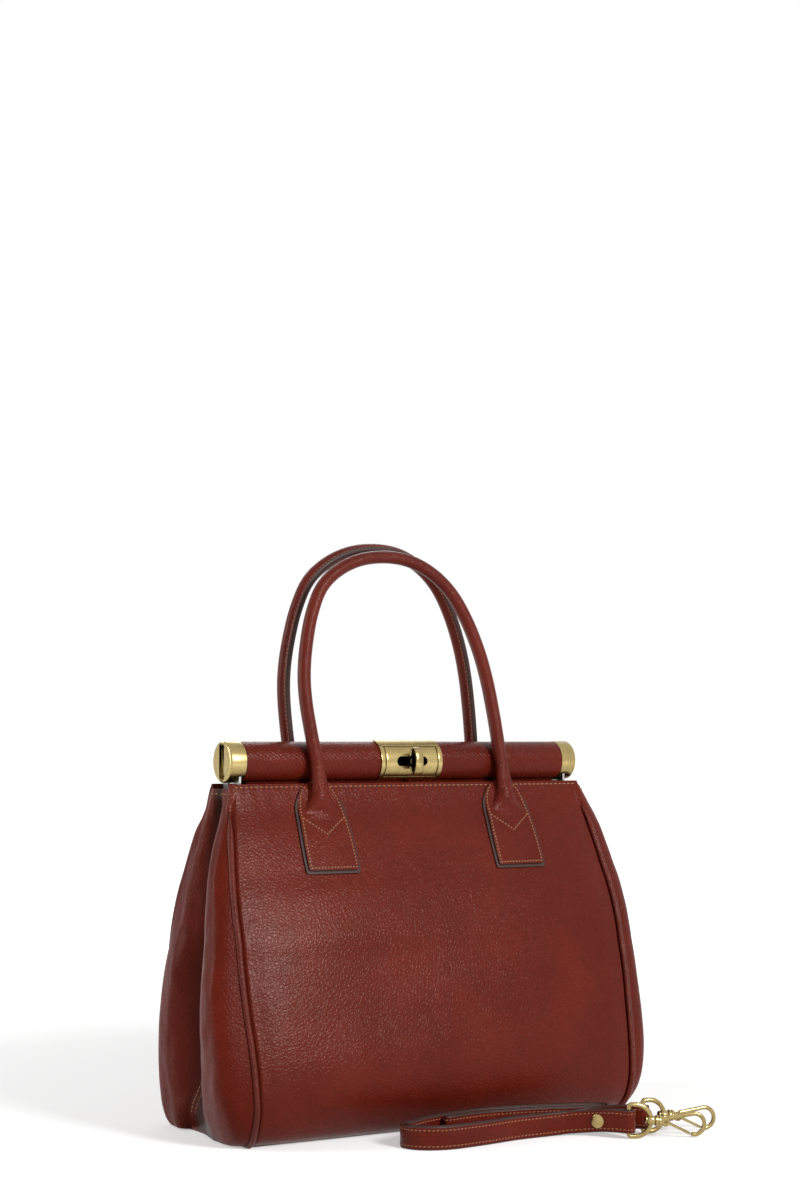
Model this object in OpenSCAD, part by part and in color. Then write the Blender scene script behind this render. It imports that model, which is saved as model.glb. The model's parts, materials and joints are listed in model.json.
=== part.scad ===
// Top handle bag on a hinged double bar frame, with two rolled handles, a turn lock
// and a detached shoulder strap that lies on its edge in front of it.
// Millimetres. X runs along the bars, the front faces -Y and +Z is up.
// The origin is on the floor, under the middle of the bag.

/* [Bag body] */
// Width of the body over its piping
body_w = 326; // [310:1:345]
// Depth of the body where it is deepest
body_d = 148; // [136:1:160]
// Height of the panels' top edge
body_h = 244; // [236:1:254]
// Thickness of the leather
leather_t = 2; // [1.6:0.1:2.4]
// Diameter of the piping along the side seams
piping_d = 3.6; // [3:0.1:4]
// Outward swell of each half of a gusset
gusset_swell = 10; // [6:0.5:12]
// Thickness of the lining
lining_t = 1.2; // [0.8:0.1:1.6]
// Thickness of the stiffening board in the base
board_t = 2.5; // [2:0.1:3]

/* [Frame] */
// Length of the closed bars over their end caps
bar_len = 297; // [288:1:306]
// Radius of the closed pair of bars
bar_r = 14.5; // [13.5:0.25:15]
// Height of the bars' axis above the panels' top edge
bar_rise = 15.2; // [14.6:0.1:16]
// Width of the slit between the front and back bars
slit_w = 2; // [1.6:0.1:2.6]
// Length of each brass end cap
cap_len = 13; // [11:0.5:15]
// Distance from the bars' axis down to the hinge of the side arms
arm_len = 87; // [80:1:92]
// Width of a side arm
arm_w = 8; // [7:0.25:8.5]
// Thickness of a side arm
arm_t = 1.6; // [1.2:0.1:1.8]
// Radius of a hinge pin
pin_r = 2; // [1.6:0.1:2.4]

/* [Lock] */
// Length of the lock plate along the bar
plate_w = 52; // [46:1:58]
// Thickness of the lock plate
plate_t = 1; // [0.8:0.1:1.4]
// Length of the slot in the lock plate
slot_w = 26; // [22:0.5:30]
// Height of the slot in the lock plate
slot_h = 7; // [6:0.25:8]
// Height of the turn knob's oval head
knob_h = 20.6; // [18:0.2:22]
// Width of the turn knob's oval head
knob_w = 10.6; // [9:0.2:12]
// Radius of the knob's post
post_r = 2.5; // [2:0.1:3]

/* [Handles] */
// Distance between the centres of a handle's two tabs
tab_pitch = 158.8; // [150:0.5:166]
// Width of a tab
tab_w = 40.6; // [36:0.5:44]
// Height of a tab's lower end above the floor
tab_foot = 182.6; // [178:0.2:188]
// Height of the front handle above its pivots
handle_rise = 171; // [155:1:185]
// Extra height of the back handle
back_extra = 6.5; // [0:0.5:12]
// Diameter of the rolled handle
handle_d = 9.5; // [8.5:0.25:10.5]

/* [Strap] */
// Length that the folded strap takes up on the floor
strap_span = 180; // [170:1:195]
// Width of the strap
strap_w = 16; // [14:0.5:17]
// Thickness of the strap
strap_t = 2.6; // [2.2:0.1:2.8]
// Outer height of the loop at each end of the strap
loop_h = 25; // [24:0.25:27]
// Diameter of the loop's wire
loop_wire = 3.4; // [3:0.1:3.6]
// Radius of a hook's round nose
nose_r = 8.6; // [8:0.1:8.8]
// Distance from a hook's pivot to the centre of its nose
hook_reach = 20.9; // [19:0.1:23]

/* [Hidden] */
$fn = 64;

// Gap between pieces that lie against each other
seam = 0.3;
// Radial clearance of a pin or post in its hole
running = 0.05;
// How far a cut runs past what it cuts
overrun = 4;
// Length past the whole bag, for blocks that cut everything on one side
beyond = 2 * body_w;

// Half depth and half width of the body as shares, against height as a share of body_h
depth_shares = [
    [0, 0.76], [0.012, 0.86], [0.03, 0.92], [0.06, 0.965], [0.11, 1], [0.17, 0.992],
    [0.23, 0.965], [0.29, 0.926], [0.34, 0.888], [0.4, 0.845], [0.46, 0.799],
    [0.51, 0.758], [0.57, 0.716], [0.63, 0.65], [0.69, 0.58], [0.74, 0.514],
    [0.8, 0.442], [0.86, 0.366], [0.93, 0.265], [1, 0.19]
];
width_shares = [
    [0, 0.945], [0.02, 0.962], [0.06, 0.972], [0.11, 0.975], [0.17, 0.979], [0.23, 0.983],
    [0.29, 0.988], [0.34, 0.993], [0.4, 0.998], [0.46, 1], [0.57, 0.999], [0.63, 0.998],
    [0.69, 0.992], [0.74, 0.983], [0.8, 0.972], [0.86, 0.959], [0.9, 0.948], [0.93, 0.938],
    [1, 0.918]
];
// Depth of the pleat in a gusset as a share of the half width, against height
pleat_shares = [
    [0, 0], [0.04, 0.006], [0.12, 0.025], [0.25, 0.06], [0.41, 0.1], [0.57, 0.104],
    [0.66, 0.09], [0.7, 0.082], [0.86, 0.064], [0.93, 0.034], [0.965, 0.006], [1, 0]
];
function half_depth(z) = lookup(z / body_h, depth_shares) * body_d / 2;
function half_width(z) = lookup(z / body_h, width_shares) * body_w / 2;
function pleat(z) = lookup(z / body_h, pleat_shares) * body_w / 2;

// Heights where the walls end and the moving top bands begin
wall_top_share = 0.84;
lip_top_share = 0.875;
band_foot_share = 0.869;
piping_top_share = 0.835;
wall_top = wall_top_share * body_h;
lip_top = lip_top_share * body_h;
band_foot = band_foot_share * body_h;
piping_top = piping_top_share * body_h;
lip_inset = 1.5 * leather_t;
base_top_share = 0.03;
base_top = base_top_share * body_h;

bar_z = body_h + bar_rise;
hinge_z = bar_z - arm_len;
cover_t = 1.2;
cap_t = 1.5;
cap_r = bar_r + seam;
bar_t = 1.2;
lining_gap = 2 * seam;

// Side arms: the front pair stands inside the back pair, with the same gap on each side
side_gap = 2 * seam;
arm_lean_share = 0.508;
arm_lean = arm_lean_share * bar_r;
arm_top_drop_share = 0.17;
arm_top_drop = arm_top_drop_share * bar_r;
arm_eye_r = 0.56 * arm_w;
arm_pair = 2 * arm_t + side_gap;
arm_x = bar_len / 2 - cap_t - 8 * side_gap - arm_pair;
head_t = arm_t;
head_r = 2 * pin_r;
lining_x = arm_x - side_gap - head_t;

// Shares of a body size at chosen heights, shared by every profile
heights = [for (p = depth_shares) p[0] * body_h];
function between(list, low, high) =
    concat([low], [for (h = list) if (h > low && h < high) h], [high]);
function backwards(list) = [for (i = [len(list) - 1:-1:0]) list[i]];
function smooth(x) = let (c = min(max(x, 0), 1)) c * c * (3 - 2 * c);

// Upright strip of the wall's profile, as [y, z], on the front side
function strip(low, high, inner, outer) = concat(
    [for (z = between(heights, low, high)) [-(half_depth(z) - outer), z]],
    [for (z = backwards(between(heights, low, high))) [-(half_depth(z) - inner), z]]
);

// Turns a [y, z] outline into a slab that runs along X between two places
module along_x(from, to) {
    translate([from, 0, 0])
        rotate([90, 0, 90])
            linear_extrude(to - from)
                children();
}

// The body's front outline, as a block that reaches past the front and back
module width_block(inset) {
    rotate([90, 0, 0])
        linear_extrude(beyond, center = true)
            polygon(concat(
                [for (p = width_shares) [half_width(p[0] * body_h) - inset, p[0] * body_h]],
                [for (p = backwards(width_shares)) [inset - half_width(p[0] * body_h), p[0] * body_h]]
            ));
}

// The back is the front's mirror image
module side(back) {
    if (back) mirror([0, 1, 0]) children();
    else children();
}

// Joins rings of points, each with as many points, into one closed solid.
// Each ring runs clockwise as seen along the way from the first ring to the last.
module skin(rings) {
    n = len(rings[0]);
    m = len(rings);
    polyhedron(
        points = [for (r = rings) for (p = r) p],
        faces = concat(
            [[for (i = [0:n - 1]) i]],
            [for (k = [0:m - 2]) for (i = [0:n - 1])
                [k * n + i, (k + 1) * n + i, k * n + (i + 1) % n]],
            [for (k = [0:m - 2]) for (i = [0:n - 1])
                [k * n + (i + 1) % n, (k + 1) * n + i, (k + 1) * n + (i + 1) % n]],
            [[for (i = [n - 1:-1:0]) (m - 1) * n + i]]
        )
    );
}

// A smooth curve through hand chosen points, with this many steps a span
function curve_point(a, b, c, d, t) = 0.5 * (
    2 * b + (c - a) * t + (2 * a - 5 * b + 4 * c - d) * t * t + (3 * b - a - 3 * c + d) * t * t * t
);
function curve(points, steps) = let (last = len(points) - 1) concat(
    [for (i = [0:last - 1]) for (s = [0:steps - 1])
        curve_point(points[max(i - 1, 0)], points[i], points[i + 1],
            points[min(i + 2, last)], s / steps)],
    [points[last]]
);
function unit(v) = v / norm(v);
function heading(path, i) = unit(path[min(i + 1, len(path) - 1)] - path[max(i - 1, 0)]);

// One ring round a path, moved along it: across is a direction that the path never follows
function tube_ring(path, i, shift, r, sides, across) = let (
    h = heading(path, i), p = unit(cross(h, across)), q = cross(h, p)
) [for (k = [0:sides - 1])
    path[i] + shift * h + r * cos(360 * k / sides) * p + r * sin(360 * k / sides) * q];
function tube_rings(path, r, sides, across) =
    [for (i = [0:len(path) - 1]) tube_ring(path, i, 0, r, sides, across)];
// The same with a dome on each end, rounded to dome_r in these turns from its foot
function domed_rings(path, r, sides, across, dome_r, turns) = concat(
    [for (a = backwards(turns))
        tube_ring(path, 0, -dome_r * sin(a), dome_r * cos(a), sides, across)],
    tube_rings(path, r, sides, across),
    [for (a = turns)
        tube_ring(path, len(path) - 1, dome_r * sin(a), dome_r * cos(a), sides, across)]
);

// Walls of the bag below the frame

module wall(back) {
    color("#6e2a1c") side(back) intersection() {
        union() {
            along_x(-beyond / 2, beyond / 2)
                polygon(strip(base_top, wall_top, leather_t, 0));
            along_x(-lining_x, lining_x)
                polygon(strip(wall_top - leather_t, lip_top, lip_inset + leather_t, leather_t));
            along_x(-lining_x, lining_x)
                polygon(strip(wall_top + leather_t, lip_top, lip_inset + leather_t, lip_inset));
        }
        difference() {
            width_block(piping_d + seam);
            lip_cut();
        }
    }
}
// Takes the lip's outer half away, so that the moving band can close over it
module lip_cut() {
    along_x(-beyond, beyond)
        polygon([
            for (z = [wall_top, lip_top + overrun]) [-(half_depth(z) - lip_inset), z],
            for (z = [lip_top + overrun, wall_top]) [-(half_depth(z) + overrun), z]
        ]);
}
module front_panel() { wall(false); }
module back_panel() { wall(true); }

module base_panel() {
    flat = between(heights, 0, base_top);
    color("#6e2a1c") intersection() {
        along_x(-beyond / 2, beyond / 2)
            polygon(concat(
                [for (z = flat) [half_depth(z), z]],
                [for (z = backwards([for (h = flat) if (h >= leather_t) h])) [half_depth(z) - leather_t, z]],
                [[half_depth(leather_t) - leather_t, leather_t], [leather_t - half_depth(leather_t), leather_t]],
                [for (z = [for (h = flat) if (h >= leather_t) h]) [leather_t - half_depth(z), z]],
                [for (z = backwards(flat)) [-half_depth(z), z]]
            ));
        width_block(piping_d + seam);
    }
}

board_z = leather_t + seam;
board_depth_share = 0.8;
module base_board() {
    board_half_w = half_width(0) - piping_d - 2 * leather_t;
    board_half_d = board_depth_share * body_d / 2;
    color("#8a8178")
        translate([-board_half_w, -board_half_d, board_z])
            cube([2 * board_half_w, 2 * board_half_d, board_t]);
}

// The lining is a cloth pocket: two shaped walls and a floor, closed by flat ends
lining_z = board_z + board_t + seam;
lining_inset = leather_t + lining_gap;
lining_top = wall_top - leather_t - lining_gap;
module lining() {
    outer = between(heights, lining_z, lining_top);
    inner = between(heights, lining_z + lining_t, lining_top);
    ring = concat(
        [for (z = outer) [half_depth(z) - lining_inset, z]],
        [for (z = backwards(inner)) [half_depth(z) - lining_inset - lining_t, z]],
        [for (z = inner) [lining_inset + lining_t - half_depth(z), z]],
        [for (z = backwards(outer)) [lining_inset - half_depth(z), z]]
    );
    full = concat(
        [for (z = outer) [half_depth(z) - lining_inset, z]],
        [for (z = backwards(outer)) [lining_inset - half_depth(z), z]]
    );
    color("#b79a72") {
        along_x(-lining_x, lining_x)
            polygon(ring);
        for (x = [-lining_x, lining_x - lining_t])
            along_x(x, x + lining_t)
                polygon(full);
    }
}

// Pleated gusset, drawn for the right hand end and mirrored for the left
gusset_edge = piping_d + 0.4 * leather_t;
gusset_inset = 0.8;
gusset_foot = 1.4 * piping_d;
gusset_top = body_h - 4.5 * leather_t;
gusset_steps = 16;
swell_share = 1.6;
function swell_at(z) = gusset_swell * sqrt(sin(180 * min(max(z / body_h, 0.01), 0.99)));
function gusset_x(z, s) = half_width(z) - gusset_inset
    + swell_at(z) * swell_share * sin(180 * s) * (1 - s) - pleat(z) * pow(s, 3);
function gusset_ring(z) = let (reach = half_depth(z) - gusset_edge) concat(
    [for (i = [-gusset_steps / 2:gusset_steps / 2])
        let (t = 2 * i / gusset_steps) [gusset_x(z, 1 - abs(t)), t * reach, z]],
    [for (i = [gusset_steps / 2:-1:-gusset_steps / 2])
        let (t = 2 * i / gusset_steps) [gusset_x(z, 1 - abs(t)) - leather_t, t * reach, z]]
);
module gusset() {
    color("#662417")
        skin([for (z = between(heights, gusset_foot, gusset_top)) gusset_ring(z)]);
}
module gusset_right() { gusset(); }
module gusset_left() { mirror([1, 0, 0]) gusset(); }

// Piping down the front edge, under the end and up the back edge
piping_sides = 8;
piping_z = piping_d / 2 + seam;
function piping_point(z, way) = [
    half_width(z) - piping_d / 2, way * (half_depth(z) - piping_d / 2), max(z, piping_z)
];
module piping() {
    down = backwards(between(heights, piping_z, piping_top));
    path = concat(
        [for (z = down) piping_point(z, -1)],
        [for (z = backwards(down)) piping_point(z, 1)]
    );
    color("#5c2015")
        skin(tube_rings(path, piping_d / 2, piping_sides, [1, 0, 0]));
}
module piping_right() { piping(); }
module piping_left() { mirror([1, 0, 0]) piping(); }

// Rivets that hinge the side arms, with a head on each side
module hinge_pins() {
    color("#9a9a96") for (way = [0, 1]) mirror([way, 0, 0])
        translate([lining_x, 0, hinge_z]) rotate([0, 90, 0]) {
            cylinder(r = head_r, h = head_t);
            cylinder(r = pin_r, h = head_t + arm_pair + 3 * side_gap);
            translate([0, 0, head_t + arm_pair + 2 * side_gap])
                cylinder(r = head_r - side_gap, h = side_gap);
        }
}

// Half rings inside the mouth that take the strap's hooks, each in a leather keeper
ring_wire = 1;
ring_half = 6;
ring_drop = 12;
ring_z = wall_top - ring_drop;
keeper_r = 2;
keeper_h = 8;
keeper_half = ring_half - ring_wire - 2 * seam;
ring_x = lining_x - lining_t - seam - keeper_r;
module ring_keepers() {
    color("#6e2a1c") for (way = [0, 1]) mirror([way, 0, 0]) difference() {
        translate([ring_x - keeper_r, -keeper_half, ring_z - keeper_r])
            cube([2 * keeper_r + seam, 2 * keeper_half, keeper_h]);
        translate([ring_x, 0, ring_z])
            rotate([90, 0, 0])
                cylinder(r = ring_wire + running, h = overrun + 2 * ring_half, center = true);
    }
}
module ring() {
    color("#b5a067") translate([ring_x, 0, ring_z]) {
        rotate([90, 0, 0])
            cylinder(r = ring_wire, h = 2 * ring_half, center = true);
        for (y = [-ring_half, ring_half]) translate([0, y, 0])
            sphere(r = ring_wire);
        for (y = [-ring_half, ring_half]) translate([0, y, -ring_half])
            cylinder(r = ring_wire, h = ring_half);
        translate([0, 0, -ring_half])
            rotate([0, 90, 0])
                rotate([0, 0, -90])
                    rotate_extrude(angle = 180)
                        translate([ring_half, 0])
                            circle(r = ring_wire);
    }
}
module ring_right() { ring(); }
module ring_left() { mirror([1, 0, 0]) ring(); }

// Handle tabs: a leather tongue over a slightly larger backing, each cut where the frame folds

backing_t = 1.2;
tab_t = 1.8;
backing_rim = 2;
tab_end_top = wall_top - 0.6 * leather_t;
tab_break = band_foot + seam;
pivot_drop = 6;
pivot_z = body_h - pivot_drop;
handle_r = handle_d / 2;
neck_z = pivot_z - handle_r - seam;
flare_share = 0.35;
flare_z = neck_z - flare_share * tab_w;
// Half the width of a tab at a height: a narrow neck that flares to the full tongue
function tab_half(z, rim) = rim + handle_r
    + (tab_w / 2 - handle_r) * smooth((neck_z - z) / (neck_z - flare_z));
module tab_outline(low, high, rim) {
    steps = 12;
    places = [for (i = [0:steps]) low + (high - low) * i / steps];
    for (x = [-tab_pitch / 2, tab_pitch / 2]) translate([x, 0, 0])
        rotate([90, 0, 0])
            linear_extrude(beyond / 2)
                polygon(concat(
                    [for (z = places) [tab_half(z, rim), z]],
                    [for (z = backwards(places)) [-tab_half(z, rim), z]]
                ));
}
module tab_piece(back, low, high, rim, near, thick) {
    side(back) intersection() {
        along_x(-beyond / 2, beyond / 2)
            polygon(strip(low, high, -near, -near - thick));
        tab_outline(low, high, rim);
    }
}
module tabs_upper(back) {
    color("#73301f") tab_piece(back, tab_break, neck_z, 0, seam + backing_t, tab_t);
}
module tabs_lower(back) {
    color("#73301f") tab_piece(back, tab_foot, tab_end_top, 0, seam + backing_t, tab_t);
}
module backings_upper(back) {
    color("#3a2a28") tab_piece(back, tab_break, neck_z, backing_rim, seam, backing_t);
}
module backings_lower(back) {
    color("#3a2a28")
        tab_piece(back, tab_foot - backing_rim, tab_end_top, backing_rim, seam, backing_t);
}
module front_tabs() { tabs_upper(false); }
module back_tabs() { tabs_upper(true); }
module front_tab_ends() { tabs_lower(false); }
module back_tab_ends() { tabs_lower(true); }
module front_tab_backings() { backings_upper(false); }
module back_tab_backings() { backings_upper(true); }
module front_backing_ends() { backings_lower(false); }
module back_backing_ends() { backings_lower(true); }

// The moving half frames

// A point at a distance from the bars' axis, turned from straight down towards the front
function under_bar(r, turn) = [-r * sin(turn), bar_z - r * cos(turn)];
hem_turns = [48, 40, 32];

module panel_top(back) {
    color("#6e2a1c") side(back) {
        intersection() {
            along_x(-beyond / 2, beyond / 2)
                polygon(strip(band_foot, body_h, leather_t, 0));
            width_block(seam);
        }
        difference() {
            along_x(cap_len + seam - bar_len / 2, bar_len / 2 - cap_len - seam)
                polygon(concat(
                    [[-half_depth(body_h - leather_t), body_h - leather_t], [-half_depth(body_h), body_h]],
                    [for (turn = hem_turns) under_bar(bar_r + seam, turn)],
                    [[leather_t - half_depth(body_h), body_h - leather_t]]
                ));
            half_round(bar_r + 2 * seam + plate_t, plate_w / 2 + seam, 0);
        }
    }
}
module front_panel_top() { panel_top(false); }
module back_panel_top() { panel_top(true); }

// Half of the round bar, between two radii and two places along X
module half_round(outer, half_len, near) {
    translate([0, 0, bar_z]) intersection() {
        rotate([0, 90, 0])
            cylinder(r = outer, h = 2 * half_len, center = true);
        translate([-beyond / 2, -beyond - near, -beyond / 2])
            cube(beyond);
    }
}

// The slot for the lock's parts, with its round middle
eye_r = 5.2;
module slot_cut() {
    translate([0, 0, bar_z]) rotate([90, 0, 0]) linear_extrude(beyond / 2) {
        translate([-slot_w / 2 + slot_h / 2, -slot_h / 2])
            square([slot_w - slot_h, slot_h]);
        for (x = [slot_h / 2 - slot_w / 2, slot_w / 2 - slot_h / 2])
            translate([x, 0])
                circle(r = slot_h / 2);
        circle(r = eye_r);
    }
}

bar_half = bar_len / 2 - 0.9 * cap_len;
module steel_bar(back) {
    color("#8d8d88") side(back) difference() {
        half_round(bar_r - cover_t - seam, bar_half, slit_w / 2 + cover_t + seam);
        half_round(bar_r - cover_t - seam - bar_t, bar_half + overrun, 0);
        if (!back) slot_cut();
    }
}
module front_bar() { steel_bar(false); }
module back_bar() { steel_bar(true); }

module bar_cover(back) {
    cover_half = bar_len / 2 - cap_len - seam;
    color("#6e2a1c") side(back) difference() {
        half_round(bar_r, cover_half, slit_w / 2);
        half_round(bar_r - cover_t, cover_half + overrun, slit_w / 2 + cover_t);
        if (!back) intersection() {
            slot_cut();
            translate([-beyond / 2, -beyond - slit_w - cover_t, 0])
                cube(beyond);
        }
    }
}
module front_bar_cover() { bar_cover(false); }
module back_bar_cover() { bar_cover(true); }

// Brass end caps, turned about the bars' axis and cut to half rounds
dome = 1.2;
module end_caps(back) {
    inner_r = bar_r - cover_t;
    color("#b5a067") side(back) for (way = [0, 1]) mirror([way, 0, 0]) difference() {
        translate([0, 0, bar_z]) intersection() {
            rotate([0, 90, 0])
                rotate_extrude()
                    polygon([
                        [0, bar_len / 2 - cap_t], [inner_r - cap_t, bar_len / 2 - cap_t],
                        [inner_r, bar_len / 2 - cap_t - dome], [inner_r, bar_len / 2 - cap_len],
                        [cap_r, bar_len / 2 - cap_len], [cap_r, bar_len / 2 - 2 * dome],
                        [cap_r - dome / 3, bar_len / 2 - dome], [cap_r - dome, bar_len / 2 - dome / 3],
                        [cap_r - 2 * dome, bar_len / 2], [0, bar_len / 2]
                    ]);
            translate([-beyond / 2, -beyond - slit_w / 2, -beyond / 2])
                cube(beyond);
        }
        arm_slot(back);
    }
}
// Opening in the underside of a cap for the arm's top, open towards the slit
module arm_slot(back) {
    slot_reach = arm_lean + arm_w / 2 + seam;
    translate([arm_place(back) - seam, -slot_reach, bar_z - cap_r - overrun])
        cube([arm_t + 2 * seam, slot_reach, overrun + cap_r / 2]);
}
module front_end_caps() { end_caps(false); }
module back_end_caps() { end_caps(true); }

// Flat steel arms from the caps down to the hinge, side by side along X
function arm_place(back) = arm_x + (back ? arm_t + side_gap : 0);
module arms(back) {
    arm_top = [-arm_lean, arm_len - arm_top_drop];
    lean = atan2(arm_lean, arm_top[1]);
    color("#9a9a96") side(back) for (way = [0, 1]) mirror([way, 0, 0])
        translate([arm_place(back), 0, hinge_z])
            rotate([90, 0, 90])
                linear_extrude(arm_t)
                    difference() {
                        union() {
                            circle(r = arm_eye_r);
                            rotate([0, 0, lean])
                                translate([-arm_w / 2, 0])
                                    square([arm_w, norm(arm_top)]);
                        }
                        circle(r = pin_r + running);
                    }
}
module front_arms() { arms(false); }
module back_arms() { arms(true); }

// Lock

module lock_plate() {
    color("#b5a067") difference() {
        half_round(bar_r + seam + plate_t, plate_w / 2, slit_w / 2 + plate_t);
        half_round(bar_r + seam, plate_w / 2 + overrun, 0);
        slot_cut();
    }
}

case_r = eye_r - seam;
case_w = 24;
case_inset = 2;
case_front = bar_r - cover_t - bar_t - 2 * seam - case_inset;
case_back = 4;
snout_len = 1.6;
snout_y = bar_r + seam + plate_t + snout_len;
module lock_case() {
    color("#a08c56") difference() {
        union() {
            translate([-case_w / 2, -case_front, bar_z - case_r])
                cube([case_w, case_front - case_back, 2 * case_r]);
            translate([0, -case_back, bar_z])
                rotate([90, 0, 0])
                    cylinder(r = case_r, h = snout_y - case_back);
        }
        translate([0, 0, bar_z])
            rotate([90, 0, 0])
                cylinder(r = post_r + running, h = beyond / 2);
    }
}

// Keeper plate on the back bar's flat face, inside the slit
module knob_base_plate() {
    keeper_t = 0.35 * slit_w;
    color("#a08c56")
        translate([-case_w / 2, slit_w / 2 - keeper_t - seam, bar_z - case_r])
            cube([case_w, keeper_t, 2 * case_r]);
}

head_y = snout_y + seam;
knob_t = 5;
inlay_t = 0.8;
rim_w = 1.7;
function oval(a, b) = [for (i = [0:47]) [a * cos(7.5 * i), b * sin(7.5 * i)]];
module turn_knob() {
    color("#b5a067") translate([0, 0, bar_z]) rotate([90, 0, 0]) {
        translate([0, 0, case_back])
            cylinder(r = post_r, h = head_y + knob_t / 2 - case_back);
        translate([0, 0, head_y]) difference() {
            linear_extrude(knob_t)
                polygon(oval(knob_w / 2, knob_h / 2));
            translate([0, 0, knob_t - inlay_t])
                linear_extrude(inlay_t + overrun)
                    polygon(oval(knob_w / 2 - rim_w, knob_h / 2 - rim_w));
        }
    }
}
module knob_inlay() {
    color("#2c2c30") translate([0, -head_y - knob_t + inlay_t, bar_z]) rotate([90, 0, 0])
        linear_extrude(inlay_t / 2)
            polygon(oval(knob_w / 2 - rim_w - seam / 3, knob_h / 2 - rim_w - seam / 3));
}
washer_t = 0.5;
module knob_washer() {
    color("#8d8d88") translate([0, seam / 2 - case_back + washer_t, bar_z]) rotate([90, 0, 0])
        cylinder(r = 1.5 * post_r, h = washer_t);
}

// Rolled handles: a leather tube with a cord core

// Centre line as [x, z] shares of half the tab pitch and of the rise above the pivots
handle_shares = [
    [-1, 0], [-1.02, 0.12], [-1.07, 0.25], [-1.108, 0.37], [-1.118, 0.48], [-1.09, 0.6],
    [-1.02, 0.74], [-0.9, 0.86], [-0.7, 0.94], [-0.45, 0.987], [-0.17, 1], [0.08, 0.982],
    [0.31, 0.93], [0.5, 0.85], [0.65, 0.74], [0.77, 0.61], [0.85, 0.48], [0.91, 0.33],
    [0.96, 0.16], [1, 0]
];
pivot_y = half_depth(pivot_z) + seam + handle_r + leather_t / 4;
handle_top_y = 8.5;
handle_mid_y = bar_r + seam + handle_r + leather_t / 4;
mid_share = (bar_z - pivot_z) / handle_rise;
function handle_y(share) = lookup(share, [[0, pivot_y], [mid_share, handle_mid_y], [1, handle_top_y]]);
function handle_path(extra) = curve([
    for (p = handle_shares)
        [p[0] * tab_pitch / 2, -handle_y(p[1]), pivot_z + p[1] * (handle_rise + extra)]
], 2);
handle_wall = 1.6;
core_r = handle_r - handle_wall;
handle_sides = 12;
core_sides = 8;
module rolled_handle(extra) {
    path = handle_path(extra);
    past = handle_r + overrun;
    color("#6e2a1c") difference() {
        skin(domed_rings(path, handle_r, handle_sides, [0, 1, 0], handle_r, [28, 55, 80]));
        skin(concat(
            [tube_ring(path, 0, -past, core_r, core_sides, [0, 1, 0])],
            tube_rings(path, core_r, core_sides, [0, 1, 0]),
            [tube_ring(path, len(path) - 1, past, core_r, core_sides, [0, 1, 0])]
        ));
    }
}
module handle_core(extra) {
    color("#c9b48c")
        skin(domed_rings(handle_path(extra), core_r - seam, core_sides, [0, 1, 0], handle_r, [60, 80]));
}
module front_handle() { rolled_handle(0); }
module back_handle() { mirror([0, 1, 0]) rolled_handle(back_extra); }
module front_handle_core() { handle_core(0); }
module back_handle_core() { mirror([0, 1, 0]) handle_core(back_extra); }

// Shoulder strap, doubled and folded, standing on its edge

bend_r = loop_wire / 2 + seam + strap_t / 2;
flap_len_share = 0.165;
flap_len = flap_len_share * strap_span;
flap_v = strap_t + seam - bend_r;
pinch = 25;
pinch_r = 12;
pinch_u = -(bend_r + pinch_r) * sin(pinch)
    - (bend_r * cos(pinch) - flap_v - pinch_r * (1 - cos(pinch))) / tan(pinch);
arc_step = 30;
// One end of the strap round its loop, from the run to the flap's free end, with lift shares
function strap_end(place, turn) = [
    for (p = concat(
        [[-flap_len, -bend_r, 0.55], [-0.5 * flap_len, -bend_r, 0.95]],
        [for (a = [-90:arc_step:90]) [bend_r * cos(a), bend_r * sin(a), 1]],
        [[bend_r * cos(90 + pinch), bend_r * sin(90 + pinch), 1]],
        [[pinch_u + pinch_r * sin(pinch), flap_v + pinch_r * (1 - cos(pinch)), 1],
         [pinch_u, flap_v, 1], [-0.7 * flap_len, flap_v, 0.8], [-flap_len, flap_v, 0.6]]
    )) [place[0] + p[0] * cos(turn) - p[1] * sin(turn), place[1] + p[0] * sin(turn) + p[1] * cos(turn), p[2]]
];
// Places of the loops' bars and points along the outer strand, as shares of the span
bar_a_shares = [0.478, -0.889];
bar_b_shares = [0.589, -0.833];
strap_shares = [
    [0.322, -0.709, 0.25], [0.25, -0.692, 0.05], [0.1, -0.689, 0], [-0.022, -0.708, 0],
    [-0.189, -0.725, 0], [-0.278, -0.711, 0], [-0.339, -0.669, 0], [-0.361, -0.611, 0],
    [-0.336, -0.558, 0], [-0.278, -0.531, 0], [-0.189, -0.492, 0], [0.056, -0.442, 0],
    [0.256, -0.469, 0], [0.433, -0.525, 0], [0.53, -0.562, 0], [0.572, -0.588, 0],
    [0.58, -0.622, 0], [0.553, -0.645, 0], [0.51, -0.642, 0], [0.433, -0.613, 0],
    [0.256, -0.552, 0], [0.056, -0.522, 0], [-0.111, -0.544, 0]
];
strap_b_shares = [[0.333, -0.674, 0], [0.406, -0.688, 0.2]];
strap_turn_a = -60;
strap_turn_b = -50;
strap_pitch = strap_t + 4 * seam;
strap_lift = loop_wire + 2 * seam;
function scaled(p) = [p[0] * strap_span, p[1] * strap_span, p[2]];
bar_a = strap_span * bar_a_shares;
bar_b = strap_span * bar_b_shares;
outer_strand = curve([for (p = strap_shares) scaled(p)], 2);
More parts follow.
